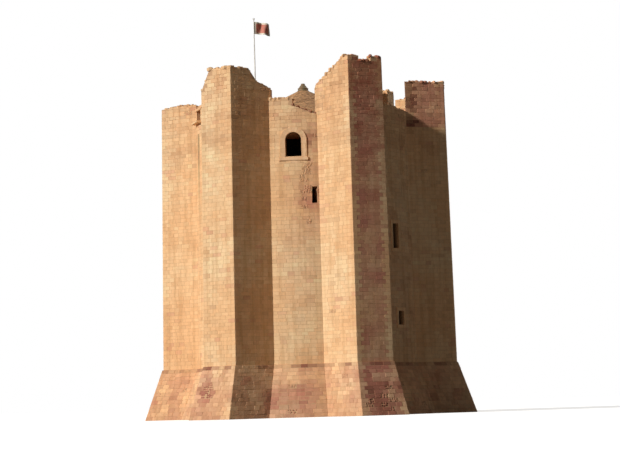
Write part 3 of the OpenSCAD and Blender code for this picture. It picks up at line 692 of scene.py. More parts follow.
class Stones:
    """Closed stones gathered into one mesh, each with its own colour, all drawn from one seed."""

    def __init__(self, seed):
        self.rng, self.look = random.Random(seed), bpy.context.scene.keep_masonry
        self.verts, self.faces, self.tints = [], [], []

    def prism(self, rings, tint):
        """Solid with the given rings of points from back to front, anticlockwise as seen from in front."""
        base, n = len(self.verts), len(rings[0])
        for k, ring in enumerate(rings):
            self.verts.extend(ring)
            if k:
                low = base + (k - 1) * n
                for i in range(n):
                    j = (i + 1) % n
                    self.faces.append((low + i, low + j, low + j + n, low + i + n))
        last = base + (len(rings) - 1) * n
        self.faces.append(tuple(range(base + n - 1, base - 1, -1)))
        self.faces.append(tuple(range(last, last + n)))
        self.tints.extend([(*tint, 1.0)] * (n * len(rings)))

    def build(self, name, material, slot):
        """The stones as a piece of the keep."""
        mesh = bpy.data.meshes.new(name)
        mesh.from_pydata(self.verts, [], self.faces)
        tint = mesh.color_attributes.new("tint", "FLOAT_COLOR", "POINT")
        tint.data.foreach_set("color", [c for t in self.tints for c in t])
        mesh.materials.append(material)
        mesh.validate()
        return new_piece(name, mesh)

    def sizes(self, ranges):
        """One length drawn from each range."""
        return [self.rng.uniform(low, high) for low, high in ranges]

    def block(self, place, corners, tint, proud, joint, edge, depth=0.03, rough=UNEVEN):
        """One squared stone on a face: its corners are (along, height), anticlockwise from the lower left."""
        rng = self.rng
        sides = [math.dist(corners[i], corners[(i + 1) % 4]) for i in range(4)]
        narrow = min((sides[0] + sides[2]) / 2, (sides[1] + sides[3]) / 2)
        if narrow < 3.2 * joint:
            return
        edge = min(edge, narrow * 0.2)
        rim = pulled_in(corners, joint / 2)
        front = [
            (s + rng.uniform(-rough, rough), z + rng.uniform(-rough, rough))
            for s, z in pulled_in(corners, joint / 2 + edge)
        ]
        back_ring = [place(s, z, -depth) for s, z in rim]
        rim_ring = [place(s, z, proud - edge * 0.8) for s, z in rim]
        front_ring = [place(s, z, proud + rng.uniform(-rough, rough)) for s, z in front]
        self.prism([back_ring, rim_ring, front_ring], tint)

    def lump(self, centre, size, yaw, tint):
        """One loose, rounded stone of a broken wall top, turned by yaw."""
        rng, rings = self.rng, []
        spots = [rng.uniform(0.82, 1.12) for _ in range(6)]
        tilts = [Matrix.Rotation(rng.uniform(-0.2, 0.2), 3, axis) for axis in "XY"]
        turn = Matrix.Rotation(yaw, 3, "Z") @ (tilts[0] @ tilts[1])
        for height, reach in ((-0.5, 0.86), (-0.1, 1.0), (0.3, 0.94), (0.5, 0.6)):
            ring = []
            for k, spot in enumerate(spots):
                a, wide = math.tau * (k + 0.5) / 6, reach * spot * rng.uniform(0.95, 1.05)
                x, y = size[0] * 0.56 * wide * math.cos(a), size[1] * 0.56 * wide * math.sin(a)
                ring.append(tuple(turn @ Vector((x, y, size[2] * height)) + Vector(centre)))
            rings.append(ring)
        self.prism(rings, tint)

    def core(self, place, left, right, low, high, tint):
        """The rough core that shows where a facing stone has fallen out."""
        rng, rows = self.rng, max(1, round((high - low) / 0.15))
        tall = (high - low) / rows
        for row in range(rows):
            s = left + rng.uniform(0.03, 0.1)
            while s < right - 0.05:
                wide = rng.uniform(0.15, 0.27)
                z = low + tall * (row + 0.5) + rng.uniform(-0.015, 0.015)
                centre = place(s, z, rng.uniform(-0.03, -0.012))
                before, after = place(s - 0.1, z, 0), place(s + 0.1, z, 0)
                along = math.atan2(after[1] - before[1], after[0] - before[0])
                shade = blend_colours(tint(centre), self.look.brown, rng.uniform(0.05, 0.3))
                self.lump(centre, (wide, 0.1, tall * rng.uniform(0.8, 1.05)), along, shade)
                s += wide * 0.92

    def lay(self, face, course, tint, rough=1.0, gaps=0.0):
        """Lays one course of stones on a face, round its openings and up to its worn top."""
        rng, look = self.rng, self.look
        number, z0, z1 = course
        z0 = max(z0, face.low)
        if z1 - z0 < THIN_COURSE:
            return
        for left, right, low, high in face.spans(number, z0, z1):
            a0, a1, b0, b1 = left(low), left(high), right(low), right(high)
            if max(b0 - a0, b1 - a1) < 0.1:
                continue
            start, end = max(a0, a1), min(b0, b1)
            joints = cuts(rng, start, end, look.short, look.long)[1:-1] if end > start else []
            ends = [(a0, a1), *((s, s) for s in joints), (b0, b1)]
            for (p0, p1), (q0, q1) in zip(ends, ends[1:]):
                worn_a, worn_b = at(face.top, (p0 + p1) / 2 + 0.05), at(face.top, (q0 + q1) / 2 - 0.05)
                if min(worn_a, worn_b) < low + THIN_COURSE:
                    continue
                spot = face.place((p0 + q0) / 2, (low + high) / 2, 0)
                if low > 0.3 and rng.random() < gaps + patches_at(spot)[2]:
                    self.core(face.place, p0, q0, low, high, tint)
                    continue
                corners = [(p0, low), (q0, low), (q1, min(high, worn_b)), (p1, min(high, worn_a))]
                proud = rng.uniform(look.proud * 0.55, look.proud)
                if rough > 1:
                    proud += rng.uniform(-0.004, 0.012)
                shade, joint = tint(spot), look.joint * rng.uniform(0.8, 1.25)
                edge = look.worn_edge * rng.uniform(0.7, 1.3) * rough
                self.block(face.place, corners, shade, proud, joint, edge, rough=UNEVEN * rough)


# Weathered patches: direction in degrees, distance from the axis, height, half width, half height, and how
# rosy, how brown and how broken the stones are at its middle
PATCHES = [
    (-82.5, 9.1, 17.2, 1.4, 3.2, 0.34, 0.06, 0.20),
    (-83.0, 9.1, 21.6, 1.2, 1.7, 0.25, 0.08, 0.05),
    (-88.0, 9.1, 13.0, 2.0, 6.0, 0.10, 0.02, 0.0),
    (-126.0, 12.6, 2.4, 1.7, 1.5, 0.36, 0.08, 0.35),
    (-131.0, 12.0, 0.6, 2.4, 1.0, 0.45, 0.25, 0.35),
    (-92.0, 10.2, 1.2, 2.6, 2.0, 0.40, 0.20, 0.15),
    (-60.0, 12.6, 2.0, 2.6, 2.4, 0.35, 0.30, 0.25),
    (172.0, 10.4, 21.8, 2.2, 1.1, 0.15, 0.30, 0.0),
    (-30.0, 9.4, 12.0, 2.4, 9.0, 0.10, 0.16, 0.0),
    (35.0, 11.0, 6.0, 4.0, 5.0, 0.20, 0.25, 0.08),
    (95.0, 9.4, 14.5, 2.0, 3.0, 0.10, 0.25, 0.05),
    (130.0, 11.4, 3.0, 4.0, 2.6, 0.30, 0.25, 0.25),
    (68.0, 11.8, 20.5, 2.6, 2.4, 0.10, 0.30, 0.05),
]


def patches_at(spot):
    """How rosy, how brown and how broken the stones are at a place."""
    made = [0.0, 0.0, 0.0]
    for degrees, reach, z, wide, high, *much in PATCHES:
        a = math.radians(degrees)
        away = math.hypot(spot[0] - reach * math.cos(a), spot[1] - reach * math.sin(a)) / wide
        near = 1.0 - away * away - ((spot[2] - z) / high) ** 2
        if near > 0:
            ragged = near * (1.0 + 1.2 * noise.noise(Vector(spot) * 1.1))
            made = [m + max(0.0, ragged) * v for m, v in zip(made, much)]
    return made


def stone_tint(stones, spot, brown, rose, spread):
    """Colour of one stone: patches a few metres wide, single browner or paler stones, and weathered zones."""
    rng, look, (x, y, z) = stones.rng, stones.look, spot
    drift = noise.noise(Vector((x, y, z)) * 0.21)
    patch = noise.noise(Vector((x + 40.0, y, z)) * 0.8)
    made = blend_colours(look.honey, look.pale, 0.5 + 1.2 * drift + rng.uniform(-0.2, 0.2))
    made = blend_colours(made, look.tan, 0.05 + 0.7 * patch + rng.uniform(-0.12, 0.18))
    if rng.random() < 0.04:
        made = blend_colours(made, look.rose, rng.uniform(0.15, 0.4))
    if rng.random() < 0.02:
        made = blend_colours(made, look.brown, rng.uniform(0.1, 0.25))
    rosy, dull, broken = patches_at(spot)
    rose, brown = rose + rosy, brown + dull
    made = blend_colours(made, look.rose, rose + rose * 1.2 * patch)
    made = blend_colours(made, look.brown, brown + brown * 1.6 * patch)
    return varied(rng, made, spread + 0.12 * (broken + rosy * 0.4))


def face_tint(stones, region, side=""):
    """Function that colours the stones of one region of the keep: the wall, a turret or parapet, or a face
    inside."""
    turn = math.radians(BUTTRESSES[side][0]) if side else 0.0

    def tint(spot):
        if region == "inside":
            return stone_tint(stones, spot, 0.22, 0.0, 0.07)
        x, y, z = spot
        out = x * math.cos(turn) + y * math.sin(turn) - lean(z)
        across = y * math.cos(turn) - x * math.sin(turn)
        brown, rose, spread = 0.0, 0.0, 0.03
        if PLINTH_H - 0.32 < z < PLINTH_H:
            brown, spread = 0.5, 0.04
        elif z < PLINTH_H:
            brown, rose, spread = 0.08 + 0.12 * (PLINTH_H - z) / PLINTH_H, 0.26, 0.05
        elif z > DULL_LOW:
            brown, spread = 0.04 + 0.10 * (1.0 - min(1.0, abs(z - DULL_Z) / 1.2)), 0.04
        if region == "turret":
            brown, rose, spread = 0.06, 0.04, 0.05
        if side == "front_right" and out > REACH - 0.16 and abs(across) < 1.46:
            # Its face is redder, painted warm grazing light, and scoured from the top down
            brown, rose, spread = brown + 0.04, rose + 0.5, 0.04 + 0.05 * min(1.0, max(0.0, z - 18.0) / 6.0)
        # On the right turret, stones near the root of its front flank are dark brown, painted shade; the rest
        # are rosy, painted warm grazing light
        if side == "right" and region == "turret":
            brown, rose, spread = (0.85, 0.1, 0.08) if out < 9.7 and across < 0 else (0.16, 0.55, 0.08)
        return stone_tint(stones, spot, brown, rose, spread)

    return tint


def arms(course):
    """The two arms of a corner stone, long and short by turns: on the face and on the flank."""
    return LONG_SHORT if course % 2 else LONG_SHORT[::-1]


def quoin(stones, side, way, course, tint):
    """Lays one L-shaped corner stone of a buttress, at its face's right with way 1, or its left with -1."""
    rng, (number, z0, z1) = stones.rng, course
    joint, deep, turn = stones.look.joint, 0.05, turned(BUTTRESSES[side][0])
    proud = rng.uniform(stones.look.proud * 0.75, stones.look.proud * 1.1)
    chip = rng.uniform(0.012, 0.03) if rng.random() < 0.85 else rng.uniform(0.03, 0.06)
    fa, fl = (arm - joint / 2 for arm in arms(number))
    c, s, mitre = 1 / SLANT, TAPER / SLANT, SLANT - TAPER

    def ring(z, out):
        e = lean(z)
        x, w = REACH + e, flank(REACH + e, e)
        corner = w + out * mitre
        points = [
            (x + out, corner - chip),
            (x + out - c * chip, corner + s * chip),
            (x - c * fl + s * out, w + s * fl + c * out),
            (x - c * fl - s * deep, w + s * fl - c * deep),
            (x - deep, w - deep * mitre),
            (x - deep, w - fa),
            (x + out, w - fa),
        ]
        return [(*turn(px, way * py), z) for px, py in points[::way]]

    low, high = z0 + joint / 2, z1 - joint / 2
    edge = min(stones.look.worn_edge, (high - low) * 0.25)
    rings = ((low, proud - edge), (low + edge, proud), (high - edge, proud), (high, proud - edge))
    spot = (*turn(REACH, way * FACE_HALF_W), (z0 + z1) / 2)
    stones.prism([ring(*level) for level in rings], tint(spot))


def worn_top(side, x, y):
    """Height of a turret's worn top at a place in its own plan."""
    at_face, behind, root, inner = BUTTRESSES[side][1]
    outline = [(CHAMBER_IN, root), (CHAMBER_OUT, behind), (CHAMBER_OUT + 0.05, at_face)]
    if side == "front_left":
        outline[1:1] = [(STEP_IN, STEP_H), (STEP_OUT, behind)]
    top = inner if x <= CHAMBER_IN - 0.02 else root
    for (x0, h0), (x1, h1) in zip(outline, outline[1:]):
        if x > x0:
            top = h0 + (h1 - h0) * min(1.0, (x - x0) / (x1 - x0))
    if side == "front_left":
        top = min(top, CORNER_H + (at_face - CORNER_H) * max(0.0, (y + FACE_HALF_W) / CORNER_W))
    if side == "front_right" and x > CHAMBER_OUT and abs(y) < NOTCH_HALF_W:
        top = at_face - NOTCH_H
    return WALK_Z + top


def parapet_top(tops, y):
    """Height of a parapet's worn top; y grows to the right as seen from outside."""
    half = (FOOT_R + TOP_E) * math.sin(HALF_BAY) + 0.05
    if y < 0:
        return WALK_Z + (tops[0] + (tops[1] - tops[0]) * (y + half) / half)
    return WALK_Z + (tops[2] + (tops[3] - tops[2]) * y / half)


def buttress_faces(side, turret=False):
    """The outer face and the two flanks of a buttress or of its turret."""
    degrees = BUTTRESSES[side][0]

    def half_w(z):
        return flank(REACH + lean(z), lean(z))

    def run(z):
        return (REACH + lean(z) - (FOOT_R + lean(z)) * math.cos(ROOT)) * SLANT

    def flank_top(s):
        x = REACH + TOP_E - abs(s) / SLANT
        return worn_top(side, x, math.copysign(flank(x, TOP_E), s))

    def corner(way):
        return lambda z: (REACH + lean(z), way * half_w(z))

    ends = (lambda k, z: arms(k)[0] - half_w(z), lambda k, z: half_w(z) - arms(k)[0])
    top = (lambda s: worn_top(side, REACH, s)) if turret else ENDLESS
    made = [Face(flat_place(degrees, corner(0), (0, 1)), *ends, top)]
    middle = (REACH + TOP_E - (CHAMBER_IN + CHAMBER_OUT) / 2) * SLANT
    for way in (1, -1):
        holes = []
        if turret and side == "back_right":
            holes.append(Hole(way * middle, ARCH_HALF_W, ARCH_Z - 0.16, ARCH_Z + ARCH_HALF_W, ARCH_Z))
        place = flat_place(degrees, corner(way), (-way / SLANT, TAPER / SLANT))
        ends = (lambda k, z, way=way: way * arms(k)[1], lambda k, z, way=way: way * run(z))
        made.append(Face(place, *ends[::way], flank_top if turret else ENDLESS, holes))
    return made


def turret_inner_faces(side):
    """The chamber's four faces, the inner wall's face to the wall-walk, the masonry left on that wall's top
    and the two ends beside the parapets."""
    degrees, (_, _, root_h, inner_h) = BUTTRESSES[side]
    c, s, arc = math.cos(ROOT), math.sin(ROOT), ROOT * PARAPET_IN
    door = Hole(0, DOOR_HALF_W, WALK_Z - 1, WALK_Z + DOOR_TOP)

    def across(x, half, way, top_x, holes=(), low=-1.0):
        """A flat face across the turret that faces outwards with way 1 and inwards with -1."""
        place = flat_place(degrees, lambda z: (at(x, z), 0), (0, way))
        return Face(place, -half, half, lambda a: worn_top(side, top_x, way * a), holes, low)

    def along(way):
        """The chamber's side at its right with way 1, or its left with -1."""
        place = flat_place(degrees, (CHAMBER_IN, way * CHAMBER_W_IN), (way / SLANT, -TAPER / SLANT))

        def top(a):
            x = CHAMBER_IN + abs(a) / SLANT
            return worn_top(side, x, way * (flank(x, TOP_E) - SIDE_WALL))

        return Face(place, *(0.0, way * (CHAMBER_OUT - CHAMBER_IN) * SLANT)[::way], top)

    def end(corner, direction, way, reach):
        """The end beside a parapet; reach gives the distance from the axis."""

        def top(a):
            return worn_top(side, reach(a) * c, way * reach(a) * s)

        return Face(flat_place(degrees, corner, direction), 0.0, lambda k, z: wall_r(z) - PARAPET_IN, top)

    def broken_edge(z):
        """The masonry left on the inner wall's top leans outwards to its own top."""
        up = (z - WALK_Z - inner_h) / max(0.01, root_h - inner_h)
        return CHAMBER_IN - BROKEN_EDGE * (1.0 - min(1.0, max(0.0, up)))

    inner_place = round_place(degrees, PARAPET_IN, PARAPET_IN, inward=True)
    return [
        across(CHAMBER_OUT, CHAMBER_W_OUT, -1, CHAMBER_OUT),
        along(1),
        along(-1),
        across(CHAMBER_IN, CHAMBER_W_IN, 1, CHAMBER_IN, [door]),
        Face(inner_place, -arc, arc, lambda a: worn_top(side, PARAPET_IN, -a), [door]),
        across(broken_edge, flank(CHAMBER_IN, TOP_E) - 0.02, -1, CHAMBER_IN, low=WALK_Z + inner_h),
        end(lambda z: (wall_r(z) * c, wall_r(z) * s), (-c, -s), 1, lambda a: wall_r(WALK_Z) - a),
        end((PARAPET_IN * c, -PARAPET_IN * s), (c, -s), -1, lambda a: PARAPET_IN + a),
    ]


def bay_holes(side):
    """The openings of a wall, with their dressed stones."""
    holes = []
    if side in ("front", "back"):
        r = WINDOW_HALF_W + WINDOW_EDGE
        holes.append(Hole(0, r, WINDOW_SILL, WINDOW_SPRING + r, WINDOW_SPRING))
        holes.append(Hole(0, SILL_HALF_W, WINDOW_SILL - SILL_H, WINDOW_SILL))
    if side == "back":
        holes.append(Hole(0, DOORWAY_HALF_W + DOORWAY_EDGE, DOORWAY_Z, DOORWAY_Z + DOORWAY_H + LINTEL_H))
    if side == "front":
        holes.append(Hole(math.radians(LIGHT_TURN) * FOOT_R, LIGHT_HALF_W, LIGHT_LOW, LIGHT_HIGH))
    for wall, turn, sill, high in SLITS:
        if wall == side:
            middle, half = math.radians(turn) * FOOT_R, SLIT_HALF_W + SLIT_EDGE
            holes.append(Hole(middle, half, sill - SLIT_EDGE, sill + high + SLIT_EDGE))
    return holes


def lathe(name, profile, material, around=(0.0, 0.0), steps=48):
    """A turned piece: profile is (radius, height) from its foot to its top, closed where the radius is 0."""
    verts, faces, rings = [], [], []
    for r, z in profile:
        count = steps if r else 1
        rings.append([len(verts) + k % count for k in range(steps)])
        for k in range(count):
            a = math.tau * k / steps
            verts.append((around[0] + r * math.cos(a), around[1] + r * math.sin(a), z))
    for low, high in zip(rings, rings[1:]):
        for k in range(steps):
            j = (k + 1) % steps
            # A ring that is one point gives triangles
            faces.append(tuple(dict.fromkeys((low[k], low[j], high[j], high[k]))))
    mesh = bpy.data.meshes.new(name)
    mesh.from_pydata(verts, [], faces)
    mesh.materials.append(material)
    mesh.shade_smooth()
    return new_piece(name, mesh)


def ashlar(side=""):
    """The squared stones' limestone, soiled and reddened with painted warm grazing light on the buttress at
    front right.
    """
    if side == "front_right":
        return finished("tooled_limestone_soiled_and_painted_warm_light", limestone, soiled_face_and_painted_warm_light, BUTTRESSES[side][0])
    return finished("tooled_limestone", limestone)


def give(material, *nodes):
    """Gives CAD nodes their material."""
    for node in nodes:
        NODES[node].data.materials.clear()
        NODES[node].data.materials.append(material)


def end_tree(tree, output, unseen, seen):
    """Ends a tree in what the camera sees, also in gloss or through glass, and what lights all the rest."""
    rays = add(tree, "LightPath").node.outputs
    gloss = add(tree, "Math", (rays["Is Glossy Ray"], rays["Is Transmission Ray"]), operation="MAXIMUM")
    direct = add(tree, "Math", (rays["Is Camera Ray"], gloss), operation="MAXIMUM")
    add(tree, output, {"Surface": add(tree, "MixShader", (direct, unseen, seen))})


class KEEP_OT_stage(bpy.types.Operator):
    """Makes the floor, the lamps, the plain background and the camera"""

    bl_idname = "keep.stage"
    bl_label = "Stage"

    def execute(self, context):
        look = context.scene.keep_stage
        bpy.ops.mesh.primitive_circle_add(vertices=96, radius=900, fill_type="NGON", location=(0, 0, -0.002))
        floor = context.object
        floor.name = "plain_floor"
        floor.data.materials.append(self.floor_material(look))
        world = bpy.data.worlds.new("plain_white")
        world.use_nodes = True
        tree = world.node_tree
        tree.nodes.clear()
        even = add(tree, "Background", {"Color": WHITE, "Strength": look.fill})
        end_tree(tree, "OutputWorld", even, add(tree, "Background", {"Color": WHITE, "Strength": 1.0}))
        context.scene.world = world
        self.lamp("key_lamp", (-0.788, -0.616, 0.44), look.key, 5.0)
        self.lamp("soft_back_lamp", (0.45, 0.85, 0.6), look.key * 0.24, 40.0)
        self.camera(context, look)
        context.scene.view_settings.view_transform = "Standard"
        return {"FINISHED"}

    def floor_material(self, look):
        """A matt pale floor that looks white and keeps the shadow, and throws little light back up."""
        material = bpy.data.materials.new("plain_matt_floor")
        material.use_nodes = True
        tree = material.node_tree
        tree.nodes.clear()
        pale = add(tree, "BsdfDiffuse", {"Color": look.floor})
        lift = add(tree, "Emission", {"Color": WHITE, "Strength": 0.6})
        grey = add(tree, "BsdfDiffuse", {"Color": (0.2, 0.2, 0.2)})
        end_tree(tree, "OutputMaterial", grey, add(tree, "AddShader", (pale, lift)))
        return material

    def lamp(self, name, source, strength, softness):
        """A distant neutral lamp that shines from the direction of source."""
        data = bpy.data.lights.new(name, "SUN")
        data.energy = strength
        data.angle = math.radians(softness)
        lamp = bpy.data.objects.new(name, data)
        lamp.rotation_mode = "QUATERNION"
        lamp.rotation_quaternion = Vector(source).to_track_quat("Z", "Y")
        lamp.location = Vector(source) * 60
        bpy.context.scene.collection.objects.link(lamp)

    def camera(self, context, look):
        """The photograph's direction: level with the keep's foot, well away, a little right of its front."""
        data = bpy.data.cameras.new("camera")
        data.lens = look.lens
        data.sensor_width = 36
        data.clip_start, data.clip_end = 1.0, 3000
        camera = bpy.data.objects.new("camera", data)
        context.scene.collection.objects.link(camera)
        spot, aim, roll = Vector((14.5, -148.3, 1.0)), Vector((0.25, 0, 15.2)), math.radians(-1.6)
        level = (aim - spot).to_track_quat("-Z", "Y").to_matrix().to_4x4()
        camera.matrix_world = Matrix.Translation(spot) @ level @ Matrix.Rotation(roll, 4, "Z")
        context.scene.camera = camera


class KEEP_OT_walls(bpy.types.Operator):
    """Lays the coursed stones of the round wall between the buttresses"""

    bl_idname = "keep.walls"
    bl_label = "Round Wall"

    def execute(self, context):
        walls = (node for node in NODES if node.startswith(("wall_front", "wall_back")))
        give(finished("lime_mortar_and_rubble", lime_mortar, True), *walls)
        half = HALF_BAY * FOOT_R
        for number, (side, (degrees, _)) in enumerate(BAYS.items()):
            stones, material = Stones(100 + number), ashlar()
            tint = face_tint(stones, "wall")
            face = Face(round_place(degrees, wall_r, FOOT_R), -half, half, holes=bay_holes(side))
            for course, rough, gaps in lower_courses():
                stones.lay(face, course, tint, rough, gaps)
            if side == "front_left":
                # Direction, half width, foot and head of the streak below the opening in the parapet
                streak = (math.radians(degrees + LOOP_TURN), 0.36, 16.0, 21.5)
                material = finished("tooled_limestone_stained", limestone, damp_streak, *streak)
            stones.build("ashlar_wall_" + side, material, "rubble_masonry")
        return {"FINISHED"}


class KEEP_OT_buttresses(bpy.types.Operator):
    """Lays the stones and the corner stones of the six buttresses"""

    bl_idname = "keep.buttresses"
    bl_label = "Buttresses"

    def execute(self, context):
        for number, side in enumerate(BUTTRESSES):
            give(finished("lime_mortar_and_rubble", lime_mortar, True), "buttress_" + side)
            stones, faces = Stones(200 + number), buttress_faces(side)
            tint = face_tint(stones, "buttress", side)
            for course, rough, gaps in lower_courses():
                for face in faces:
                    stones.lay(face, course, tint, rough, gaps)
                for way in (1, -1):
                    quoin(stones, side, way, course, tint)
            stones.build("ashlar_buttress_" + side, ashlar(side), "rubble_masonry")
        return {"FINISHED"}


class KEEP_OT_turrets(bpy.types.Operator):
    """Lays the stones of the six ruined turrets, inside and out, and the broken stones on their tops"""

    bl_idname = "keep.turrets"
    bl_label = "Turrets"

    def execute(self, context):
        for number, (side, (_, tops)) in enumerate(BUTTRESSES.items()):
            give(finished("lime_mortar", lime_mortar), "turret_%s_walls" % side)
            stones = Stones(300 + number)
            tint, inner_tint = face_tint(stones, "turret", side), face_tint(stones, "inside")
            rough = 1.7 if side == "front_right" else 1.25
            outer, inner = buttress_faces(side, True), turret_inner_faces(side)
            for course in courses("head"):
                if course[1] > WALK_Z + max(tops) - THIN_COURSE:
                    break
                for face in outer:
                    stones.lay(face, course, tint, rough, 0.02)
                for face in inner:
                    stones.lay(face, course, inner_tint, 1.4, 0.02)
                for way in (1, -1):
                    if course[2] < worn_top(side, REACH, way * FACE_HALF_W) + 0.12:
                        quoin(stones, side, way, course, tint)
            self.broken_top(stones, side, tint)
            self.inner_top(stones, side, tint)
            stones.build("ashlar_turret_" + side, ashlar(side), "rubble_masonry")
        return {"FINISHED"}

    def broken_top(self, stones, side, tint):
        """Covers the worn tops of a turret's walls with broken stones."""
        rng, (degrees, tops) = stones.rng, BUTTRESSES[side]
        turn, x = turned(degrees), PARAPET_IN + 0.12
        while x < REACH + lean(WALK_Z + tops[0]) - 0.08:
            half = flank(x, TOP_E) - 0.1
            if x < PARAPET_IN + PARAPET_T:
                half = min(half, x * math.tan(ROOT) - 0.1)
            y = -half + rng.uniform(0, 0.1)
            while y < half:
                in_side = abs(y) > flank(x, TOP_E) - SIDE_WALL
                in_wall = x < CHAMBER_IN or x > CHAMBER_OUT + 0.1 or in_side
                size = stones.sizes(TURRET_LUMPS)
                if in_wall and rng.random() < 0.9:
                    spot = turn(x + rng.uniform(-0.05, 0.05), y)
                    centre = (*spot, worn_top(side, x, y) + size[2] * rng.uniform(-0.12, 0.22))
                    stones.lump(centre, size, rng.uniform(0, math.tau), tint(centre))
                y += size[1] + rng.uniform(0.0, 0.07)
            x += TURRET_STEP

    def inner_top(self, stones, side, tint):
        """Ends the masonry left on the inner wall in smaller stones."""
        rng, degrees, y = stones.rng, BUTTRESSES[side][0], -CHAMBER_W_IN
        while y < CHAMBER_W_IN:
            size = stones.sizes(INNER_LUMPS)
            height = worn_top(side, CHAMBER_IN, y) + size[2] * rng.uniform(-0.3, 0.1)
            centre = (*turned(degrees)(CHAMBER_IN - 0.03, y), height)
            stones.lump(centre, size, math.radians(degrees) + rng.uniform(-0.15, 0.15), tint(centre))
            y += size[1] * 0.95


class KEEP_OT_parapets(bpy.types.Operator):
    """Lays the stones of the worn parapets, the lintel and sill of their opening and the roof's curb"""

    bl_idname = "keep.parapets"
    bl_label = "Parapets"

    def execute(self, context):
        mortar = finished("lime_mortar", lime_mortar)
        give(mortar, "roof_curb")
        for number, (side, (degrees, tops)) in enumerate(BAYS.items()):
            give(mortar, "parapet_%s_wall" % side)
            stones, faces = Stones(400 + number), []
            tint, inner_tint = face_tint(stones, "turret"), face_tint(stones, "inside")
            # Outer and inner face: radius, radius at which distances are true, and the top's share of that
            for way, radius, reach, share in ((1, wall_r, FOOT_R, 0.973), (-1, PARAPET_IN, PARAPET_IN, 1.0)):
                holes = []
                if side == "front_left":
                    middle = way * math.radians(LOOP_TURN) * reach
                    holes.append(Hole(middle, LOOP_HALF_W, LOOP_LOW, LOOP_HIGH))
                place, half = round_place(degrees, radius, reach, way < 0), HALF_BAY * reach
                top = lambda s, k=way * share, tops=tops: parapet_top(tops, s * k)
                faces.append(Face(place, -half, half, top, holes))
            for course in courses("head"):
                if course[1] < WALK_Z + max(tops):
                    stones.lay(faces[0], course, tint, 1.25, 0.01)
                    stones.lay(faces[1], course, inner_tint, 1.4, 0.02)
            self.broken_top(stones, degrees, tops, tint)
            if side == "front_left":
                self.sill(stones, degrees + LOOP_TURN, tint)
            stones.build("ashlar_parapet_" + side, ashlar(), "rubble_masonry")
        self.curb()
        return {"FINISHED"}

    def broken_top(self, stones, degrees, tops, tint):
        """Covers a parapet's worn top with broken stones."""
        rng, start, a = stones.rng, math.radians(degrees), -HALF_BAY + 0.02
        while a < HALF_BAY - 0.01:
            r = PARAPET_IN + 0.16
            while r < FOOT_R + TOP_E - 0.08:
                size = stones.sizes(PARAPET_LUMPS)
                spot = a + rng.uniform(-0.006, 0.006)
                height = parapet_top(tops, r * math.sin(spot)) + size[2] * rng.uniform(-0.15, 0.2)
                centre = (r * math.cos(start + spot), r * math.sin(start + spot), height)
                shade = tint(centre)
                if degrees == BAYS["front"][0] and spot > 0.0:
                    # Dark stones where the front parapet's top falls away: painted shadow along its edge
                    shade = blend_colours(shade, stones.look.brown, 0.85)
                stones.lump(centre, size, start + rng.uniform(-0.4, 0.4), shade)
                r += rng.uniform(0.24, 0.34)
            a += PARAPET_STEP

    def sill(self, stones, degrees, tint):
        """The sill stone that stands out below the opening, and the flat stone over it."""
        place = flat_place(degrees, (FOOT_R + TOP_E, 0), (0, 1))
        for low, high, half, proud in LOOP_STONES:
            shade = tint(place(0, low, 0))
            stones.block(place, rectangle(-half, half, low, high), shade, proud, 0.004, 0.02, 0.5)

    def curb(self):
        """Two courses of squared stones round the foot of the roof."""
        stones, half = Stones(470), math.pi / 6 * CURB_R
        tint = face_tint(stones, "inside")
        for part in range(6):
            face = Face(round_place(60 * part, CURB_R, CURB_R), -half, half)
            for course in numbered(CURB_LEVELS):
                stones.lay(face, course, tint, 1.2)
        stones.build("ashlar_roof_curb", ashlar(), "rubble_masonry")


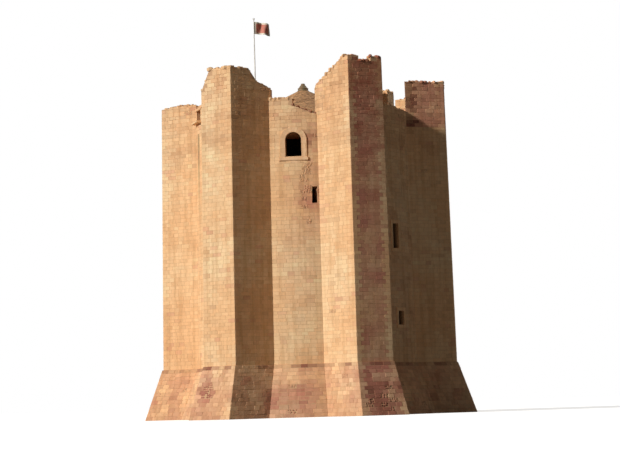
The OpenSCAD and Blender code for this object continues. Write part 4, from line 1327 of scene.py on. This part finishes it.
class KEEP_OT_dressings(bpy.types.Operator):
    """Lays the dressed stones round the arched windows, the doorway and the slits"""

    bl_idname = "keep.dressings"
    bl_label = "Dressed Stones"

    def execute(self, context):
        # The openings' reveals get painted shade, darker from the wall's face inwards
        plain = finished("smooth_limestone", smoothed_stone, context.scene.keep_masonry.honey, 7.0, True)
        give(plain, "window_dressing_front", "window_dressing_back", "slit_dressings", "doorway_dressing")
        for number, side in enumerate(("front", "back")):
            stones = Stones(500 + number)
            self.arch(stones, BAYS[side][0])
            stones.build("voussoirs_" + side, ashlar(), "dressed_limestone")
        stones = Stones(520)
        for wall, turn, sill, high in SLITS:
            self.frame_stones(
                stones, BAYS[wall][0] + turn, sill, high, SLIT_HALF_W, SLIT_EDGE, SLIT_EDGE, bottom=SLIT_EDGE
            )
        stones.build("slit_jambs_and_lintels", ashlar(), "dressed_limestone")
        stones = Stones(540)
        size = (DOORWAY_Z, DOORWAY_H, DOORWAY_HALF_W, DOORWAY_EDGE, LINTEL_H)
        self.frame_stones(stones, BAYS["back"][0], *size, pieces=5, pale=0.6)
        stones.build("doorway_jambs_and_lintel", ashlar(), "dressed_limestone")
        return {"FINISHED"}

    def place(self, degrees, z):
        """Places on the flat face of the dressed stones whose sill is at height z."""
        return flat_place(degrees, (FOOT_R + lean(z) + DRESSING_PROUD, 0), (0, 1))

    def dress(self, stones, place, corners, pale, proud, edge, joint=FINE_JOINT):
        """One dressed stone; pale is its share of the dressed colour, and proud is a length or a range."""
        look = stones.look
        shade = blend_colours(look.honey, look.dressed, pale * stones.rng.uniform(0.6, 1.0))
        shade = varied(stones.rng, shade, 0.04)
        if isinstance(proud, tuple):
            proud = stones.rng.uniform(*proud)
        stones.block(place, corners, shade, proud, joint, edge)

    def jambs(self, stones, place, sill, high, half, edge, pale):
        """Stones beside an opening, long and short by turns."""
        for way in (1, -1):
            for k, z0, z1 in numbered(levels(stones.rng, sill, high, JAMB_H)):
                wide = edge if k % 2 else edge * 0.8
                a, b = sorted((way * half, way * (half + wide)))
                self.dress(stones, place, rectangle(a, b, z0, z1), pale, (0.006, 0.014), 0.01)

    def arch(self, stones, degrees):
        """Voussoirs, jambs and a sill round an arched window."""
        place, pale, count = self.place(degrees, WINDOW_SILL), 0.4, 11
        low_r, high_r = WINDOW_HALF_W, WINDOW_HALF_W + WINDOW_EDGE
        for k in range(count):
            a, b = math.pi * k / count, math.pi * (k + 1) / count
            ends = ((low_r, a), (low_r, b), (high_r, b), (high_r, a))
            corners = [(-r * math.cos(t), WINDOW_SPRING + r * math.sin(t)) for r, t in ends]
            self.dress(stones, place, corners, pale, (0.008, 0.016), 0.012)
        self.jambs(stones, place, WINDOW_SILL, WINDOW_SPRING, WINDOW_HALF_W, WINDOW_EDGE, pale)
        corners = rectangle(-SILL_HALF_W, SILL_HALF_W, WINDOW_SILL - SILL_H, WINDOW_SILL)
        self.dress(stones, place, corners, pale, 0.05, 0.02, 0.006)

    def frame_stones(self, stones, degrees, sill, high, half, edge, lintel, bottom=0.0, pieces=1, pale=0.1):
        """Jambs, a lintel cut into pieces and, where bottom gives its height, a sill round a square-headed
        opening."""
        place, top, wide = self.place(degrees, sill), sill + high, half + edge
        self.jambs(stones, place, sill, top, half, edge, pale)
        for k in range(pieces):
            a, b = (-wide + 2 * wide * (k + t) / pieces for t in (0, 1))
            lean_a, lean_b = (0.0 if abs(v) > wide - 0.01 else v * 0.18 for v in (a, b))
            corners = [(a - lean_a, top), (b - lean_b, top)]
            corners += [(b + lean_b, top + lintel), (a + lean_a, top + lintel)]
            self.dress(stones, place, corners, pale, (0.008, 0.014), 0.012)
        if bottom:
            self.dress(stones, place, rectangle(-wide, wide, sill - bottom, sill), pale, 0.03, 0.016, 0.006)


class KEEP_OT_paving(bpy.types.Operator):
    """Lays the flagstones of the wall-walk and of the turrets' floors"""

    bl_idname = "keep.paving"
    bl_label = "Paving"

    def execute(self, context):
        slabs = finished("worn_flagstone", smoothed_stone, context.scene.keep_masonry.paving, 5.0)
        give(slabs, "wall_walk_paving", "basement_floor", "basement_vault")
        stones = Stones(600)
        for low, high in zip(PAVING_RINGS, PAVING_RINGS[1:]):
            middle = (low + high) / 2

            def place(s, t, out, r=middle):
                return (t * math.cos(-s / r), t * math.sin(-s / r), PAVED_Z + out)

            for _, a, b in numbered(cuts(stones.rng, 0.0, math.tau * middle, SLAB_SHORT, SLAB_LONG)):
                self.flagstone(stones, place, rectangle(a, b, low, high), 0.008, 0.016)
        for degrees, _ in BUTTRESSES.values():
            turn = turned(degrees)

            def place(s, t, out, turn=turn):
                share = (s - CHAMBER_IN) / (CHAMBER_OUT - CHAMBER_IN)
                return (*turn(s, t * (CHAMBER_W_IN + (CHAMBER_W_OUT - CHAMBER_W_IN) * share)), WALK_Z + out)

            for _, a, b in numbered(levels(stones.rng, CHAMBER_IN + 0.02, CHAMBER_OUT - 0.02, SLAB_L)):
                for _, low, high in numbered(levels(stones.rng, -0.985, 0.985, SLAB_W)):
                    self.flagstone(stones, place, rectangle(a, b, low, high), 0.01, 0.02)
        stones.build("wall_walk_flagstones", ashlar(), "paving_stone")
        return {"FINISHED"}

    def flagstone(self, stones, place, corners, low, high):
        """One flagstone that stands between low and high over its bed."""
        rng, look = stones.rng, stones.look
        shade = varied(rng, blend_colours(look.paving, look.brown, rng.uniform(-0.2, 0.35)), 0.07)
        stones.block(place, corners, shade, rng.uniform(low, high), 0.012, 0.01)


class KEEP_OT_roof(bpy.types.Operator):
    """Lays the roof's shingles and its copper cap"""

    bl_idname = "keep.roof"
    bl_label = "Roof"

    def execute(self, context):
        timbers = ("rafters", "wall_plate", "king_post", "hall_beams", "chamber_beams", "roof_covering")
        give(finished("sawn_oak", sawn_oak), *timbers)
        give(finished("oak_floorboards", sawn_oak, True), "hall_floor", "chamber_floor")
        self.shingles(context.scene.keep_roof)
        self.cap()
        return {"FINISHED"}

    def shingles(self, look):
        """Courses of shingles from the eaves to the cap, each thicker at its lower end."""
        stones, up = Stones(700), -0.03
        rng, c, s = stones.rng, math.cos(PITCH), math.sin(PITCH)
        while ROOF_R - up * c >= CAP_R + 0.1:
            r_low = ROOF_R - up * c
            count, gap = max(8, round(math.tau * r_low / look.shingle_w)), 0.003 / r_low
            edges = [k + rng.uniform(-0.16, 0.16) for k in range(count)]
            edges.append(edges[0] + count)
            shift, long = rng.random(), min(look.exposure * 2.0, (r_low - 0.3) / c)
            for k in range(count):
                a, b = (math.tau * (edges[k + t] + shift) / count for t in (0, 1))
                a, b = a + gap, b - gap
                drop, thick = rng.uniform(-0.012, 0.012), look.shingle_t * rng.uniform(0.75, 1.3)
                rings = []
                for along, lift, tall in ((drop, 0.008, thick), (long, 0.0, thick * 0.35)):
                    ring = []
                    for t, top in ((a, tall), (b, tall), (b, 0.0), (a, 0.0)):
                        r = ROOF_R - (up + along) * c + (lift + top) * s
                        z = EAVES_Z + (up + along) * s + (lift + top) * c
                        ring.append((r * math.cos(t), r * math.sin(t), z))
                    rings.append(ring)
                shade = blend_colours(look.shingle, look.dark_shingle, rng.random() ** 1.6)
                stones.prism(rings, varied(rng, shade, 0.08, 0.9))
            up += look.exposure
        stones.build("oak_shingle_courses", finished("weathered_oak_shingles", oak_shingles), "shingles")

    def cap(self):
        """The copper cap: a skirt dressed down over the shingles, a shoulder and a small knob."""
        z = EAVES_Z + (ROOF_R - CAP_R) * math.tan(PITCH)
        profile = [(CAP_R + wider, z + up) for wider, up in CAP_SKIRT]
        profile += [(CAP_R * share, z + up) for share, up in CAP_KNOB]
        piece = lathe("copper_cap", profile, finished("weathered_sheet_copper", weathered_copper))
        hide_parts("roof_cap")


class KEEP_OT_flag(bpy.types.Operator):
    """Makes the flag, its pole's finish, the knob on top and the iron shoe"""

    bl_idname = "keep.flag"
    bl_label = "Flag and Pole"

    def execute(self, context):
        paint, iron = finished("chalky_white_paint", pole_paint), finished("forged_iron", forged_iron)
        give(paint, "flagpole")
        low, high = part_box("flagpole")
        x, y = (low.x + high.x) / 2, (low.y + high.y) / 2
        turned_pieces = [
            ("pole_knob", high.z, POLE_KNOB, paint, (x, y), 24),
            ("pole_shoe", low.z, POLE_SHOE, iron, (x, y), 32),
        ]
        for k in range(6):
            a = math.tau * (k + 0.5) / 6
            around = (x + BOLTS_R * math.cos(a), y + BOLTS_R * math.sin(a))
            turned_pieces.append(("shoe_bolt_%d" % (k + 1), low.z, SHOE_BOLT, iron, around, 6))
        for name, z, profile, material, around, steps in turned_pieces:
            lathe(name, [(r, z + up) for r, up in profile], material, around, steps)
        self.cloth(context.scene.keep_flag)
        return {"FINISHED"}

    def cloth(self, look):
        """The cloth flies in the wind: it keeps its length along every wave and sags at its free end."""
        low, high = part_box("flag")
        steps, rows, base = 90, 60, math.radians(12)
        step = look.width / steps
        verts, faces, borders = [], [], []
        for j in range(rows + 1):
            v = j / rows
            spot, drop = Vector((low.x, low.y + 0.02, 0)), 0.0
            for i in range(steps + 1):
                u = i / steps
                verts.append((spot.x, spot.y, high.z - look.height * (1 - v) - drop))
                # One long wave, and a finer one that grows towards the free end
                bend = 0.95 * min(1.0, u * 3.0) * math.sin(math.tau * (1.55 * u - 0.22 * v) + 0.4)
                bend += 0.22 * u * math.sin(math.tau * (3.1 * u + 0.5 * v))
                dip = 0.05 + 0.16 * u
                spot += Vector((math.cos(base + bend), math.sin(base + bend), 0)) * step * math.cos(dip)
                drop += step * math.sin(dip)
        wide_u, wide_v = round(steps * BORDER_W / look.width), round(rows * BORDER_W / look.height)
        for j in range(rows):
            for i in range(steps):
                a = j * (steps + 1) + i
                faces.append((a, a + 1, a + steps + 2, a + steps + 1))
                borders.append(not (wide_u <= i < steps - wide_u and wide_v <= j < rows - wide_v))
        mesh = bpy.data.meshes.new("flag_cloth")
        mesh.from_pydata(verts, [], faces)
        mesh.materials.append(finished("red_bunting", bunting, look.field))
        mesh.materials.append(finished("cream_bunting", bunting, look.border))
        mesh.polygons.foreach_set("material_index", [int(border) for border in borders])
        mesh.shade_smooth()
        cloth = new_piece("flag_cloth", mesh)
        skin = cloth.modifiers.new("thickness", "SOLIDIFY")
        skin.thickness = 0.002
        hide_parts("flag")


class KEEP_PT_panel(bpy.types.Panel):
    """The keep's pieces and the values that they are made from"""

    bl_label = "Castle Keep"
    bl_idname = "KEEP_PT_panel"
    bl_space_type = "VIEW_3D"
    bl_region_type = "UI"
    bl_category = "Keep"

    def draw(self, context):
        scene = context.scene
        for group in (scene.keep_stage, scene.keep_masonry, scene.keep_roof, scene.keep_flag):
            box = self.layout.box()
            for name in group.__annotations__:
                box.prop(group, name)
        for operator in OPERATORS:
            self.layout.operator(operator.bl_idname)


LOOKS = {"keep_masonry": MasonryLook, "keep_roof": RoofLook, "keep_flag": FlagLook, "keep_stage": StageLook}
OPERATORS = (
    KEEP_OT_stage,
    KEEP_OT_walls,
    KEEP_OT_buttresses,
    KEEP_OT_turrets,
    KEEP_OT_parapets,
    KEEP_OT_dressings,
    KEEP_OT_paving,
    KEEP_OT_roof,
    KEEP_OT_flag,
)


def register():
    for made in (*LOOKS.values(), *OPERATORS, KEEP_PT_panel):
        bpy.utils.register_class(made)
    for name, made in LOOKS.items():
        setattr(bpy.types.Scene, name, PointerProperty(type=made))


def unregister():
    for name in LOOKS:
        delattr(bpy.types.Scene, name)
    for made in (KEEP_PT_panel, *reversed(OPERATORS), *reversed(LOOKS.values())):
        bpy.utils.unregister_class(made)


def main():
    register()
    bpy.ops.keep.stage()
    bpy.ops.keep.walls()
    bpy.ops.keep.buttresses()
    bpy.ops.keep.turrets()
    bpy.ops.keep.parapets()
    bpy.ops.keep.dressings()
    bpy.ops.keep.paving()
    bpy.ops.keep.roof()
    bpy.ops.keep.flag()


if __name__ == "__main__":
    main()
